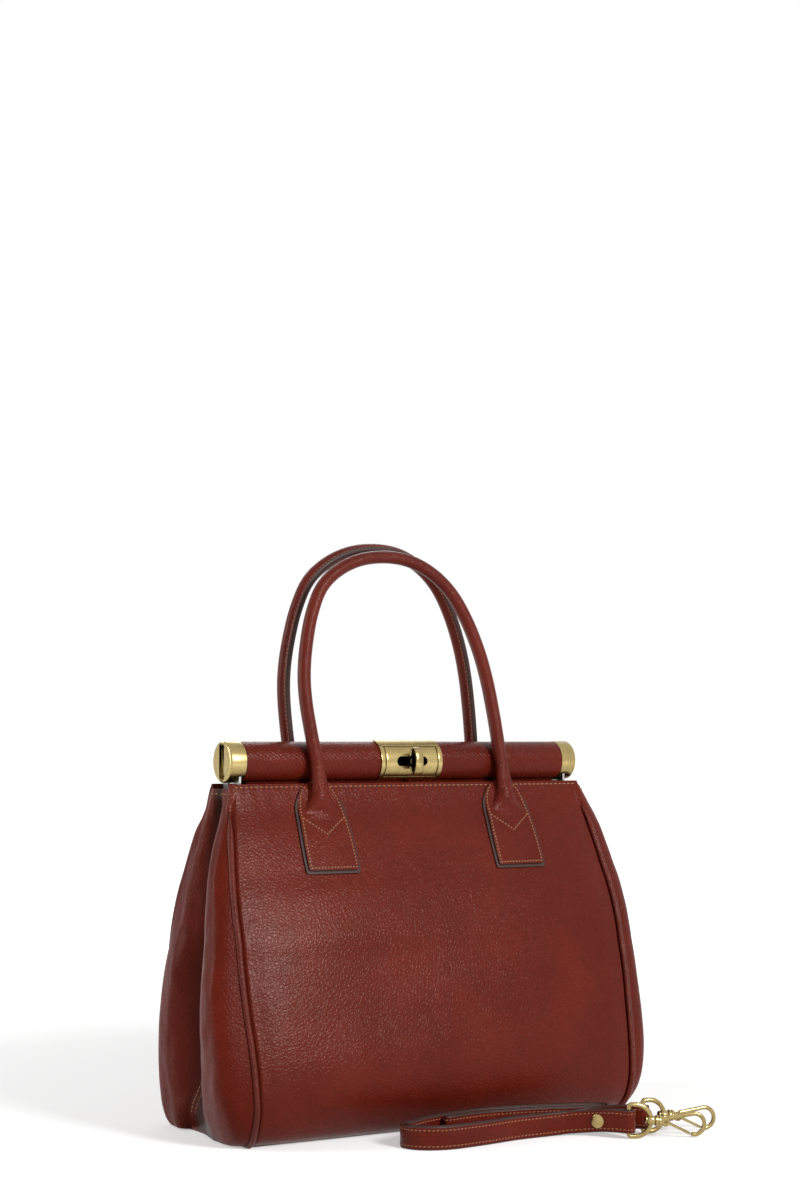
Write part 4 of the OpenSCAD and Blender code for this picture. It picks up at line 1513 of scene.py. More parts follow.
@dataclass
class Tabs:
    """Leather tongues and backings that carry the handles."""

    shape: BodyShape
    finishes: Finishes
    middles: tuple = (-81.3, 77.5)
    foot: float = 182.6
    top: float = 244.6
    backing_top: float = 238.0
    rim: float = 2.0
    corner: float = 1.6
    tongue_t: float = 1.8
    backing_t: float = 1.2
    gap: float = 0.3
    inset: float = 1.7
    point: tuple = (207.0, 218.5)

    def build(self) -> None:
        """Makes the tongues, backings and stitches of both sides."""
        for side in Side:
            self.tongues(side)
            self.backings(side)
            self.stitches(side)

    def half_at(self, z: float, rim: float = 0.0) -> float:
        """Half the width of a tab at a height.

        Args:
            z: Height.
            rim: Border to add all round.

        Returns:
            The half width.
        """
        rounded = max(0.0, self.corner - (z - self.foot + rim)) / self.corner
        corner = 1.4 * (1 - math.sqrt(max(0.0, 1 - rounded * rounded)))
        return rim * (1 - smooth((z - 226) / 12)) + FLARE.at(z) - corner

    def height(self, span: float, z: float) -> float:
        """Height of the tongue's face above the wall.

        Args:
            span: Place across the tongue, from -1 to 1.
            z: Height on the bag.

        Returns:
            The height.
        """
        rise = smooth((z - 216) / 17)
        base = self.gap + self.backing_t + self.tongue_t - 1.2 * rise
        off = span * FLARE.at(z) / RIDGE.at(z)
        swell = max(0.0, 1 - off * off) ** (1.4 - 0.9 * rise)
        ridge = rise * (HANDLE_OUT + HANDLE_R + 0.1 - base) * swell
        crease = 0.8 * math.exp(-(((z - 223 + 3 * abs(span)) / 1.6) ** 2)) * (1 - abs(span))
        rolled = 0.35 * smooth((abs(span) - 0.86) / 0.14)
        return base + ridge - crease - rolled

    def place(self, side: Side, middle: float, span: float, z: float) -> Vector:
        """Point on a tongue's outer face."""
        x = middle + span * self.half_at(z)
        return self.shape.lifted(side, x, z, self.height(span, z))

    def tongues(self, side: Side) -> None:
        """Both tongues of one side, with painted edges.

        Args:
            side: Front or back half.
        """
        word, tall = side.word, self.top - self.foot
        finishes = [self.finishes.leather, self.finishes.edge]
        hidden = (f"{word}_tabs", f"{word}_tab_ends")
        piece = self.shape.sewn(side, f"{word}_tab_leather", finishes, replaces=hidden)
        for middle in self.middles:
            piece.grid(
                48, 84,
                lambda u, v: self.place(side, middle, 2 * u - 1, self.foot + v * tall),
            )  # fmt: skip
        piece.face(0, side.value, 0)
        known = set(piece.bm.faces)
        piece.thicken(self.tongue_t - 0.2)
        piece.bm.normal_update()
        outward = Vector((0, side.value, 0.35))
        for face in piece.bm.faces:
            if face not in known and abs(face.normal.dot(outward)) < 0.6:
                face.material_index = 1
        piece.round_edges(0.4)
        piece.finish()

    def backings(self, side: Side) -> None:
        """Dark backing that shows as a border round each tongue.

        Args:
            side: Front or back half.
        """
        word, low = side.word, self.foot - self.rim
        hidden = (f"{word}_tab_backings", f"{word}_backing_ends")
        piece = self.shape.sewn(
            side, f"{word}_backing_leather", [self.finishes.edge], Slot.EDGE, hidden
        )
        for middle in self.middles:

            def place(u: float, v: float) -> Vector:
                """Place on the backing's outer face."""
                z = low + v * (self.backing_top - low)
                x = middle + (2 * u - 1) * self.half_at(z, self.rim)
                return self.shape.lifted(side, x, z, self.gap + self.backing_t)

            piece.grid(30, 50, place)
        piece.face(0, side.value, 0)
        piece.thicken(self.backing_t)
        piece.round_edges(0.45)
        piece.finish()

    def stitches(self, side: Side) -> None:
        """Stitches round each tongue and the pointed row across it.

        Args:
            side: Front or back half.
        """
        piece = self.shape.sewn(side, f"{side.word}_tab_stitches", self.finishes.sewing)
        low, high, (tip, ends) = self.foot + self.inset, 241.0, self.point
        rises = [low + k * (high - low) / 40 for k in range(41)]
        sides = [(self.half_at(z) - self.inset, z) for z in rises]
        foot = [(sides[0][0] * k / 10, low) for k in range(-10, 11)]
        border = [(-x, z) for x, z in reversed(sides)] + foot[1:-1] + sides
        arm = self.half_at(ends) - self.inset
        pointed = [(arm * k / 12, tip + (ends - tip) * abs(k) / 12) for k in range(-12, 13)]
        for middle in self.middles:
            for line in (border, pointed):
                Stitching(piece, pitch=2.5, long=1.6, wide=1.3, high=0.9).row(
                    [self.place(side, middle, x / self.half_at(z), z) for x, z in line],
                    [self.shape.outward(side, middle + x, z) for x, z in line],
                )
        piece.finish()


@dataclass
class Handle:
    """Rolled handle: leather sewn round a cord, with a painted flange towards the bag's middle."""

    shape: BodyShape
    finishes: Finishes
    side: Side
    extra: float
    r: float = HANDLE_R
    cord_r: float = 2.85
    pitch: float = 158.8
    aside: float = -1.9
    pivot_z: float = 238.0
    rise: float = 171.0
    flange: float = 2.5
    stitched_from: float = 258.0

    shares: ClassVar[Points] = (
        (-1, 0), (-1.02, 0.12), (-1.07, 0.25), (-1.108, 0.37), (-1.118, 0.48), (-1.09, 0.6),
        (-1.02, 0.74), (-0.9, 0.86), (-0.7, 0.94), (-0.45, 0.987), (-0.17, 1), (0.08, 0.982),
        (0.31, 0.93), (0.5, 0.85), (0.65, 0.74), (0.77, 0.61), (0.85, 0.48), (0.91, 0.33),
        (0.96, 0.16), (1, 0),
    )  # fmt: skip
    reach: ClassVar[Table] = Table(((0, 21.56), (0.124, 20.05), (1, 8.5)))
    roots: ClassVar[Sequence[float]] = (231.2, 234.5)

    def path(self) -> list[Vector]:
        """Centre line, from inside one tab over the arch into the other.

        Returns:
            Points of the line.
        """
        y, half, points = self.side.value, self.pitch / 2, []
        for x, share in self.shares:
            z = self.pivot_z + share * (self.rise + self.extra)
            points.append(Vector((x * half + self.aside, y * self.reach.at(share), z)))
        left, right = (
            [
                Vector((way * half + self.aside, y * (self.shape.half_depth(z) + HANDLE_OUT), z))
                for z in self.roots
            ]
            for way in (-1, 1)
        )
        return spline([*left, *points, *reversed(right)], 5)

    def piece(self, name: str, finishes: list, slot: Slot = Slot.BODY, **more: Any) -> Piece:
        """Starts a piece that passes from the frame to the swinging handle."""
        fold = Fold(self.side.frame, self.side.grip, 231.0, 250.0)
        return Piece(f"{self.side.word}_handle_{name}", finishes, slot, fold, **more)

    def section(self) -> Corners:
        """Outline across the handle, with its flange towards the middle of the bag.

        Returns:
            Corners of the outline.
        """
        tip, way = self.r + self.flange, -self.side.value
        back = [(self.r * math.cos(a), self.r * math.sin(a)) for a in arc(28, 333, 16)]
        rim = [(tip - 0.5, -1.9), (tip - 0.1, -1.4), (tip, 0), (tip - 0.1, 1.4), (tip - 0.5, 1.9)]
        outline = [*rim, (self.r + 0.2, 2.0), *back, (self.r + 0.2, -2.0)]
        return [(-way * y, way * x) for x, y in outline]

    def build(self) -> None:
        """Makes the leather, the cord in it and the stitches along both faces of the flange."""
        path, inwards = self.path(), -self.side.value
        frames = path_frames(path, Vector((0, 1, 0)))
        leather = self.piece(
            "leather", [self.finishes.grip_leather, self.finishes.edge],
            replaces=(f"{self.side.word}_handle",), crease=50,
        )  # fmt: skip
        leather.sweep(
            self.section(),
            frames,
            paint=lambda x, y: int(inwards * y > self.r + self.flange - 0.9),
            warp=lambda i, x, y: self.drawn_in(path[i].z, x, y),
        )
        leather.finish()
        hidden = (f"{self.side.word}_handle_core",)
        cord = self.piece("cord", [self.finishes.cord], Slot.CORD, replaces=hidden)
        cord.sweep(circle(self.cord_r, 10), frames[3:-3])
        cord.finish()
        thread = self.piece("stitches", self.finishes.sewing)
        high = [f for f in frames if f.translation.z > self.stitched_from]
        for way in (-1, 1):
            line = [f @ Vector((way * 1.95, inwards * (self.r + 1.0), 0)) for f in high]
            Stitching(thread, slant=12.0).row(line, [way * f.to_3x3().col[0] for f in high])
        thread.finish()

    def drawn_in(self, z: float, x: float, y: float) -> tuple[float, float]:
        """Widens the leather towards its tab and takes the flange back into the round.

        Args:
            z: Height on the bag.
            x: Place across the section.
            y: Place through the section.

        Returns:
            The new place in the section.
        """
        far = math.hypot(x, y)
        if far > self.r:
            size = (self.r + smooth((z - 250) / 14) * (far - self.r)) / far
            x, y = x * size, y * size
        return x * RIDGE.at(max(z, 240)) / self.r, y


# Bars, caps and lock


BAR_Z = 259.2


def slot_distance(x: float, z: float) -> float:
    """Distance outside the lock plate's keyhole, less than zero inside it.

    Args:
        x: Place along the bars.
        z: Height from the middle of the bar.

    Returns:
        The distance.
    """
    half, radius, eye = 9.5, 3.5, 5.2
    bar = math.hypot(max(abs(x) - half, 0.0), z) - radius
    return min(bar, math.hypot(x, z) - eye)


def cut_keyhole(bm: BMesh, spare: float, ahead: float = -10.0) -> None:
    """Deletes the faces ahead of a place along Y that lie in the keyhole or near it.

    Args:
        bm: The mesh.
        spare: How near counts as in it.
        ahead: Place along Y that the faces lie ahead of.
    """
    inside = []
    for face in bm.faces:
        spot = face.calc_center_median()
        if spot.y < ahead and slot_distance(spot.x, spot.z - BAR_Z) < spare:
            inside.append(face)
    bmesh.ops.delete(bm, geom=inside, context="FACES")


@dataclass
class Bars:
    """Leather covered half bars with their brass end caps."""

    finishes: Finishes
    r: float = 14.5
    slit: float = 1.0
    half: float = 135.2
    cap_r: float = 14.8
    cap_from: float = 135.5
    cap_to: float = 148.5
    cover_t: float = 1.2
    rings: tuple = ((1.7, 0.0), (0.3, -0.3), (0.3, 0.0), (0.3, 0.3))

    def build(self) -> None:
        """Makes the covers and the caps of both halves."""
        for side in Side:
            self.cover(side)
            self.caps(side)

    def outline(self, side: Side) -> Corners:
        """Half round with softened corners, as places across and up.

        Args:
            side: Front or back half.

        Returns:
            Corners of the outline.
        """
        points = [(self.r * math.cos(a), self.r * math.sin(a)) for a in arc(98, 263, 6)]
        flat = [(-1.15, 0.7 - self.r), (-self.slit, 1.3 - self.r), (-self.slit, -6.0)]
        points += [*flat, (-self.slit, 0.0), *((y, -z) for y, z in reversed(flat))]
        return points if side is Side.FRONT else [(-y, z) for y, z in reversed(points)]

    def cover(self, side: Side) -> None:
        """Leather sleeve of one half bar, open behind the lock plate's slot.

        Args:
            side: Front or back half.
        """
        coarse = (k * self.half / 60 for k in range(-60, 61))
        fine = (k * 1.0 for k in range(-15, 16))
        x, y, z = Matrix.Identity(3)
        frames = [axes(Vector((at, 0, BAR_Z)), y, z, x) for at in sorted({*coarse, *fine})]
        piece = Piece(
            f"{side.word}_bar_leather", [self.finishes.bar_leather], Slot.BODY, side.frame,
            (f"{side.word}_bar_cover",),
        )  # fmt: skip
        piece.sweep(self.outline(side), frames, capped=False)
        if side is Side.FRONT:
            cut_keyhole(piece.bm, 0.3)
        piece.thicken(self.cover_t)
        piece.finish()

    def caps(self, side: Side) -> None:
        """Brass end caps, turned, cut to a half round and lined on the end.

        Args:
            side: Front or back half.
        """
        piece = Piece(
            f"{side.word}_brass_caps", [self.finishes.brass], Slot.BRASS, side.frame,
            (f"{side.word}_end_caps",), crease=30,
        )  # fmt: skip
        start, end, r, bm = self.cap_from, self.cap_to, self.cap_r, piece.bm
        outline = [
            (0, start), (r - 0.35, start), (r, start + 0.35), (r, end - 2.0), (r - 0.15, end - 1.2),
            (r - 0.6, end - 0.5), (r - 1.3, end - 0.12), (r - 2.0, end), (0, end),
        ]  # fmt: skip
        piece.turned(outline, moved(z=BAR_Z) @ turn(90, "Y"), 72)
        made = bmesh.ops.bisect_plane(
            bm,
            geom=bm.verts[:] + bm.edges[:] + bm.faces[:],
            plane_co=Vector((0, side.value * self.slit, 0)),
            plane_no=Vector((0, -side.value, 0)),
            clear_outer=True,
        )
        bmesh.ops.contextual_create(bm, geom=only(made["geom_cut"], BMEdge))
        flat = [
            face
            for face in bm.faces
            if face.normal.x > 0.99 and face.calc_center_median().x > end - 0.05
        ]
        bmesh.ops.dissolve_faces(bm, faces=flat)
        piece.round_edges(0.3)
        bm.normal_update()
        facing = [face for face in bm.faces if face.normal.x > 0.99]
        disc = [max(facing, key=BMFace.calc_area)]
        for width, depth in self.rings:
            bmesh.ops.inset_region(bm, faces=disc, thickness=width, depth=depth)
        piece.mirror_x()
        piece.finish()


@dataclass
class Lock:
    """Brass plate round the front bar, with its turn knob."""

    finishes: Finishes
    half_w: float = 26.0
    r: float = 15.8
    thick: float = 1.0
    lip: float = 2.0
    groove: float = 0.4
    border_at: tuple = (22.2, 12.2)
    knob_thick: float = 3.2
    knob_tall: float = 10.3
    knob_near: float = 15.7
    knob_far: float = 26.4
    knob_rim: float = 1.4

    def build(self) -> None:
        """Makes the plate and the knob."""
        self.plate()
        self.knob_ring()
        self.knob_face()

    def border(self, x: float, angle: float) -> float:
        """Distance from the engraved border, less than zero inside it."""
        across, up = self.border_at
        return max(abs(x) - across, self.r * abs(angle) - up)

    def plate(self) -> None:
        """Plate bent round the bar, with a keyhole and an engraved border."""
        limit = math.acos(self.lip / self.r)
        finishes = [self.finishes.brass, self.finishes.engraved]
        piece = Piece(
            "lock_plate_brass", finishes, Slot.BRASS, "front_frame", ("lock_plate",), crease=30
        )

        def place(u: float, v: float) -> Vector:
            """Place on the plate from the two shares.

            Args:
                u: Share of the way across.
                v: Share of the way up.

            Returns:
                The place.
            """
            x, angle = (2 * u - 1) * self.half_w, (2 * v - 1) * limit
            r = self.r - self.groove * math.exp(-((self.border(x, angle) / 0.5) ** 2))
            return Vector((x, -r * math.cos(angle), BAR_Z + r * math.sin(angle)))

        piece.grid(112, 90, place)
        piece.face(0, -1, 0)
        cut_keyhole(piece.bm, 0.0)
        for face in piece.bm.faces:
            spot = face.calc_center_median()
            angle = math.atan2(spot.z - BAR_Z, -spot.y)
            face.material_index = int(abs(self.border(spot.x, angle)) < 0.36)
        for vertex in [v for v in piece.bm.verts if v.is_boundary]:
            x, z = vertex.co.x, vertex.co.z - BAR_Z
            gap, step = slot_distance(x, z), 0.01
            if abs(gap) > 0.6:
                continue
            slope = Vector((
                slot_distance(x + step, z) - slot_distance(x - step, z),
                slot_distance(x, z + step) - slot_distance(x, z - step),
            )).normalized()  # fmt: skip
            x, z = x - gap * slope.x, z - gap * slope.y
            vertex.co = Vector((x, -math.sqrt(self.r**2 - z * z), BAR_Z + z))
        piece.thicken(self.thick)
        piece.round_edges(0.22, 65)
        piece.finish()

    @property
    def knob_half(self) -> float:
        """Half the knob's reach out from the bar."""
        return (self.knob_far - self.knob_near) / 2

    @property
    def knob_middle(self) -> float:
        """Place of the knob's middle along Y."""
        return -(self.knob_near + self.knob_far) / 2

    def knob_ring(self) -> None:
        """Oval rim of the thumb turn, thin enough for the keyhole, with its post and collar."""
        half, tall, r = self.knob_half, self.knob_tall, self.knob_rim / 2
        frames, aside = [], Vector((1, 0, 0))
        for k in range(64):
            a = math.tau * k / 64
            y, z = (half - r) * math.cos(a), (tall - r) * math.sin(a)
            way = Vector((0, -half * math.sin(a), tall * math.cos(a))).normalized()
            origin = Vector((0, self.knob_middle + y, BAR_Z + z))
            frames.append(axes(origin, aside.cross(way), aside, way))
        section = [
            (r * math.cos(a), self.knob_thick * math.copysign(abs(math.sin(a)) ** 0.8, math.sin(a)))
            for a in arc(0, 360, 20)
        ]
        brass = [self.finishes.cast_brass]
        ring = Piece("knob_ring", brass, Slot.BRASS, "knob", ("turn_knob",))
        ring.sweep(section, frames, closed=True)
        post = [
            (0, 4.0), (2.5, 4.0), (2.5, 15.4), (4.3, 15.4), (4.6, 15.7), (4.5, 16.3), (3.2, 16.8),
            (2.6, 17.6), (0, 17.6),
        ]  # fmt: skip
        ring.turned(post, moved(z=BAR_Z) @ turn(90, "X"), 32)
        ring.finish()

    def knob_face(self) -> None:
        """Dark plate inside the thumb turn's rim, dished on both sides."""
        face = Piece("knob_face", [self.finishes.dark], Slot.DARK, "knob", ("knob_inlay",), 60)
        dish = [(0, 1.3), (0.5, 1.45), (0.85, 1.9), (1.0, 2.3)]
        tall, half = (size - self.knob_rim + 0.35 for size in (self.knob_tall, self.knob_half))
        seat = moved(0, self.knob_middle, BAR_Z) @ turn(90, "Y") @ sized(tall, half)
        face.turned([(r, -h) for r, h in dish] + dish[::-1], seat, 48)
        face.finish()


# Shoulder strap


STRAP_SPAN = 180.0


@dataclass(frozen=True)
class StrapEnd:
    """Where one end of the strap holds its loop, and which way it and its hook point."""

    word: str
    at: tuple
    turn: float
    hook_turn: float

    def seat(self, z: float, degrees: float) -> Matrix:
        """Matrix at the loop's bar, at a height and turned."""
        x, y = (share * STRAP_SPAN for share in self.at)
        return moved(x, y, z) @ turn(degrees, "Z")


STRAP_ENDS = (
    StrapEnd("a", (0.478, -0.889), -60.0, -25.0),
    StrapEnd("b", (0.589, -0.833), -50.0, -16.0),
)


@dataclass
class Strap:
    """Doubled and folded strap that stands on its edge, with its rivets."""

    finishes: Finishes
    width: float = 16.0
    thick: float = 2.6
    bend_r: float = 3.3
    lift: float = 4.0
    pitch: float = 3.8
    flap: float = 29.7
    flap_v: float = -0.4
    pinch: float = 25.0
    pinch_r: float = 12.0

    shares: ClassVar[Points] = (
        (0.322, -0.709, 0.25), (0.25, -0.692, 0.05), (0.1, -0.689, 0), (-0.022, -0.708, 0),
        (-0.189, -0.725, 0), (-0.278, -0.711, 0), (-0.339, -0.669, 0), (-0.361, -0.611, 0),
        (-0.336, -0.558, 0), (-0.278, -0.531, 0), (-0.189, -0.492, 0), (0.056, -0.442, 0),
        (0.256, -0.469, 0), (0.433, -0.525, 0), (0.53, -0.562, 0), (0.572, -0.588, 0),
        (0.58, -0.622, 0), (0.553, -0.645, 0), (0.51, -0.642, 0), (0.433, -0.613, 0),
        (0.256, -0.552, 0), (0.056, -0.522, 0), (-0.111, -0.544, 0),
    )  # fmt: skip
    near_b: ClassVar[Points] = ((0.333, -0.674, 0), (0.406, -0.688, 0.2))

    @staticmethod
    def scaled(row: Sequence[float]) -> Vector:
        """Place of a row of shares, with its lift kept as a share."""
        return Vector((row[0] * STRAP_SPAN, row[1] * STRAP_SPAN, row[2]))

    def end(self, end: StrapEnd) -> list[Vector]:
        """One end of the strap round its loop, from the run to the flap's end.

        Args:
            end: Which end.

        Returns:
            Places and lift shares along it.
        """
        lean, r, back = math.radians(self.pinch), self.bend_r, self.flap_v
        sunk = self.pinch_r * (1 - math.cos(lean))
        aside = self.pinch_r * math.sin(lean)
        reach = r * math.cos(lean) - back - sunk
        start = -(r + self.pinch_r) * math.sin(lean) - reach / math.tan(lean)
        rows = [(-self.flap, -r, 0.55), (-0.5 * self.flap, -r, 0.95)]
        for a in (*arc(-90, 91, 30), math.radians(90 + self.pinch)):
            rows.append((r * math.cos(a), r * math.sin(a), 1))
        rows += [(start + aside, back + sunk, 1), (start, back, 1)]
        rows += [(-0.7 * self.flap, back, 0.8), (-self.flap, back, 0.6)]
        seat = end.seat(0.0, end.turn)
        return [seat @ Vector(row) for row in rows]

    def path(self) -> list[Vector]:
        """Whole centre line as places and lift shares.

        Returns:
            The rows, with the lift share as the third value.
        """
        outer = spline([self.scaled(row) for row in self.shares], 2)
        inner, ways = [], []
        for i, spot in enumerate(outer):
            way = heading_at(outer, i)
            way = Vector((way.x, way.y, 0)).normalized()
            ways.append(way)
            inner.append(Vector((spot.x + self.pitch * way.y, spot.y - self.pitch * way.x, 0)))
        bend = (outer[-1] + inner[-1]) / 2 + 0.6 * self.pitch * ways[-1]
        first, last = (self.end(end) for end in STRAP_ENDS)
        rows = [*reversed(first), *outer, bend, *reversed(inner[2:])]
        return [*rows, *(self.scaled(row) for row in self.near_b), *last]

    def frames(self) -> list[Matrix]:
        """Matrices along the strap, with X through its thickness and Y up.

        Returns:
            One matrix for each point.
        """
        path, up = spline(self.path(), 3), Vector((0, 0, 1))
        frames = []
        for i, spot in enumerate(path):
            way = heading_at(path, i)
            way = Vector((way.x, way.y, 0)).normalized()
            origin = Vector((spot.x, spot.y, max(spot.z, 0) * self.lift + self.width / 2))
            frames.append(axes(origin, Vector((-way.y, way.x, 0)), up, way))
        return frames

    def build(self) -> None:
        """Makes the strap, its stitches and its rivets."""
        frames, t, w = self.frames(), self.thick / 2, self.width / 2
        edge = [(t - 0.25, w - 0.35), (t, w - 1.0), (t, w - 2.0), (t - 0.16, w - 2.7), (t, w - 3.5)]
        side = [(x, -y) for x, y in edge] + edge[::-1] + [(0.4, w)]
        leather = Piece(
            "strap_leather", [self.finishes.leather, self.finishes.edge], Slot.BODY,
            "strap_bundle", ("strap",), crease=50,
        )  # fmt: skip
        section = side + [(-x, -y) for x, y in side]
        leather.sweep(section, frames, paint=lambda x, y: int(abs(y) > w - 0.9))
        leather.finish()
        thread = Piece("strap_stitches", self.finishes.sewing, Slot.BODY, "strap_bundle")
        for face in (-1, 1):
            out = [face * f.to_3x3().col[0] for f in frames]
            for row in (-1, 1):
                line = [f @ Vector((face * (t - 0.08), row * (w - 2.7), 0)) for f in frames]
                Stitching(thread, slant=14.0 * face).row(line, out)
        thread.finish()
        self.rivets()

    def rivets(self) -> None:
        """Double cap rivets through the strap's ends."""
        brass = [self.finishes.cast_brass]
        piece = Piece("rivet_caps", brass, Slot.BRASS, "strap_bundle", ("strap_rivets",))
        cap = [
            (0, 0), (4.6, 0), (4.75, 0.15), (4.7, 0.4), (4.2, 0.66), (3.0, 0.88), (1.5, 0.98),
            (0, 1.0),
        ]  # fmt: skip
        near, far = -self.bend_r - self.thick / 2, self.flap_v + self.thick / 2
        shank = [(0, 0), (1.6, 0), (1.6, far - near), (0, far - near)]
        for end in STRAP_ENDS:
            seat = end.seat(0, end.turn) @ moved(-0.72 * self.flap, 0, 0.75 * self.lift + 8.0)
            piece.turned(cap, seat @ moved(0, near, 0) @ turn(90, "X"), 32)
            piece.turned(cap, seat @ moved(0, far, 0) @ turn(-90, "X"), 32)
            piece.turned(shank, seat @ moved(0, near, 0) @ turn(-90, "X"), 16)
        piece.finish()


@dataclass
class SnapHook:
    """Loop, swivelling hook and sprung gate at one end of the strap."""

    finishes: Finishes
    end: StrapEnd
    loop_h: float = 25.0
    wire_r: float = 1.7
    straight: float = 5.0
    corner_r: float = 2.2
    slope: float = 6.0
    pivot: float = 9.8
    root_r: float = 3.4
    nose_r: float = 8.6
    reach: float = 20.9
    hook_r: float = 1.5
    nose_end: float = 98.0

    stem: ClassVar[Points] = (
        (0, -4.4), (2.1, -4.4), (2.6, -4.0), (2.6, -3.1), (2.3, -2.8), (1.45, -2.8),
        (1.45, 2.8), (3.3, 2.8), (3.8, 3.3), (3.8, 4.5), (3.4, 4.9), (3.8, 5.3), (3.8, 6.6),
        (3.1, 7.6), (0, 7.8),
    )  # fmt: skip
    barrel: ClassVar[Points] = (
        (1.55, -2.5), (2.8, -2.5), (3.15, -2.1), (3.2, 0), (3.15, 2.1), (2.8, 2.5), (1.55, 2.5),
        (1.55, -2.5),
    )  # fmt: skip
    cheek: ClassVar[Points] = ((0, 1.05), (3.1, 1.05), (3.4, 1.3), (3.4, 2.1), (3.0, 2.5), (0, 2.5))
    eye: ClassVar[Points] = (
        (1.15, -0.7), (2.6, -0.7), (2.8, -0.5), (2.8, 0.5), (2.6, 0.7), (1.15, 0.7), (1.15, -0.7),
    )  # fmt: skip

    def build(self) -> None:
        """Makes the loop, the hook and the gate."""
        arc_r = self.loop_h / 2 - self.wire_r
        seat = self.end.seat(self.loop_h / 2, self.end.hook_turn)
        boss = seat @ moved(self.straight + arc_r) @ turn(self.slope, "Y")
        self.loop(seat, boss, arc_r)
        self.hook(boss)
        self.gate(boss)

    def piece(self, name: str, body: str) -> Piece:
        """Starts a brass piece of this end.

        Args:
            name: What it is.
            body: Its body, without the end's letter.

        Returns:
            The empty piece.
        """
        word = self.end.word
        brass, hidden = [self.finishes.cast_brass], (f"{name}_{word}",)
        return Piece(f"{name}_{word}_brass", brass, Slot.BRASS, f"{body}_{word}", hidden)

    def loop(self, seat: Matrix, boss: Matrix, arc_r: float) -> None:
        """Stirrup shaped loop with the swivel's boss.

        Args:
            seat: Where the loop's bar is.
            boss: Where the swivel's boss is.
            arc_r: Radius of the loop's round end.
        """
        c = self.corner_r
        upper = [Vector((0, 0, z)) for z in (0, 0.4 * arc_r, arc_r - c - 0.5)]
        for k in range(5):
            a = math.pi / 2 * k / 4
            upper.append(Vector((c - c * math.cos(a), 0, arc_r - c + c * math.sin(a))))
        upper.append(Vector((self.straight, 0, arc_r)))
        for k in range(1, 10):
            a = math.pi / 2 * k / 9
            upper.append(Vector((self.straight + arc_r * math.sin(a), 0, arc_r * math.cos(a))))
        lower = [Vector((p.x, 0, -p.z)) for p in reversed(upper[1:-1])]
        frames = path_frames(upper + lower, Vector((0, 1, 0)))
        piece = self.piece("loop", "strap_loop")
        piece.sweep(circle(self.wire_r, 12), [seat @ f for f in frames], closed=True)
        piece.turned(self.barrel, boss @ turn(90, "Y"))
        piece.finish()

    def hook(self, boss: Matrix) -> None:
        """Swivel, barrel, cheeks and the bent hook.

        Args:
            boss: Where the swivel's boss is.
        """
        piece = self.piece("hook", "snap_hook")
        piece.turned(self.stem, boss @ turn(90, "Y"))
        root = boss @ moved(self.pivot)
        for degrees in (90, -90):
            piece.turned(self.cheek, root @ turn(degrees, "X"))
        small, large = self.root_r - self.hook_r, self.nose_r - self.hook_r
        reach = self.reach
        lean = math.acos((small - large) / reach)
        low = Vector((small * math.cos(lean), 0, small * math.sin(lean)))
        high = Vector((reach + large * math.cos(lean), 0, large * math.sin(lean)))
        path = [low.lerp(high, share) for share in (0.13, 0.3, 0.5, 0.7, 0.88, 1.0)]
        for k in range(1, 17):
            a = lean - (lean + math.radians(self.nose_end)) * k / 16
            path.append(Vector((reach + large * math.cos(a), 0, large * math.sin(a))))
        frames = [root @ f for f in path_frames(path, Vector((0, 1, 0)))]
        last = frames[-1]
        frames += [last @ moved(z=on) @ sized(k, k) for on, k in ((0.5, 0.86), (0.9, 0.5))]
        piece.sweep(circle(self.hook_r, 14), frames)
        piece.finish()

    def gate(self, boss: Matrix) -> None:
        """Thin sprung lever that closes the hook.

        Args:
            boss: Where the swivel's boss is.
        """
        inner, far = self.nose_r - self.hook_r, self.reach - self.hook_r
        length = math.hypot(inner, far) - 1.0
        root = boss @ moved(self.pivot) @ Matrix.Rotation(math.atan2(inner, far), 4, "Y")
        piece = self.piece("gate", "trigger")
        piece.turned(self.eye, root @ turn(90, "X"), 24)
        t, h = 0.7, 1.05
        half = [(h, -t + 0.3), (h, t - 0.3), (h - 0.3, t), (0.3 - h, t)]
        steps = (2.2, 1.0), (9.0, 0.9), (length - 1.2, 0.9), (length - 0.3, 0.75), (length, 0.4)
        frames = [root @ moved(x) @ turn(90, "Y") @ sized(size, 1) for x, size in steps]
        piece.sweep(half + [(-x, -y) for x, y in half], frames)
        piece.finish()


# Kept model pieces, light and camera


def dress_kept(nodes: dict[str, bpy.types.Object], finishes: Finishes) -> None:
    """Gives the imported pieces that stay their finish.

    Args:
        nodes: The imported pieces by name.
        finishes: The materials.
    """
    steel = "front_bar back_bar front_arms back_arms hinge_pins knob_washer gate_pin_a gate_pin_b"
    kept = {
        steel: finishes.steel,
        # The lock case is dark gunmetal, not brass, so that the keyhole shows black: painted shade in the
        # slot.
        "lock_case": finishes.dark,
        "knob_base_plate ring_left ring_right": finishes.cast_brass,
        "base_board": finishes.board,
    }
    for names, finish in kept.items():
        for name in names.split():
            mesh = nodes[name].data
            mesh.materials.clear()
            mesh.materials.append(finish)
            log.info("%s: kept from the model", name)


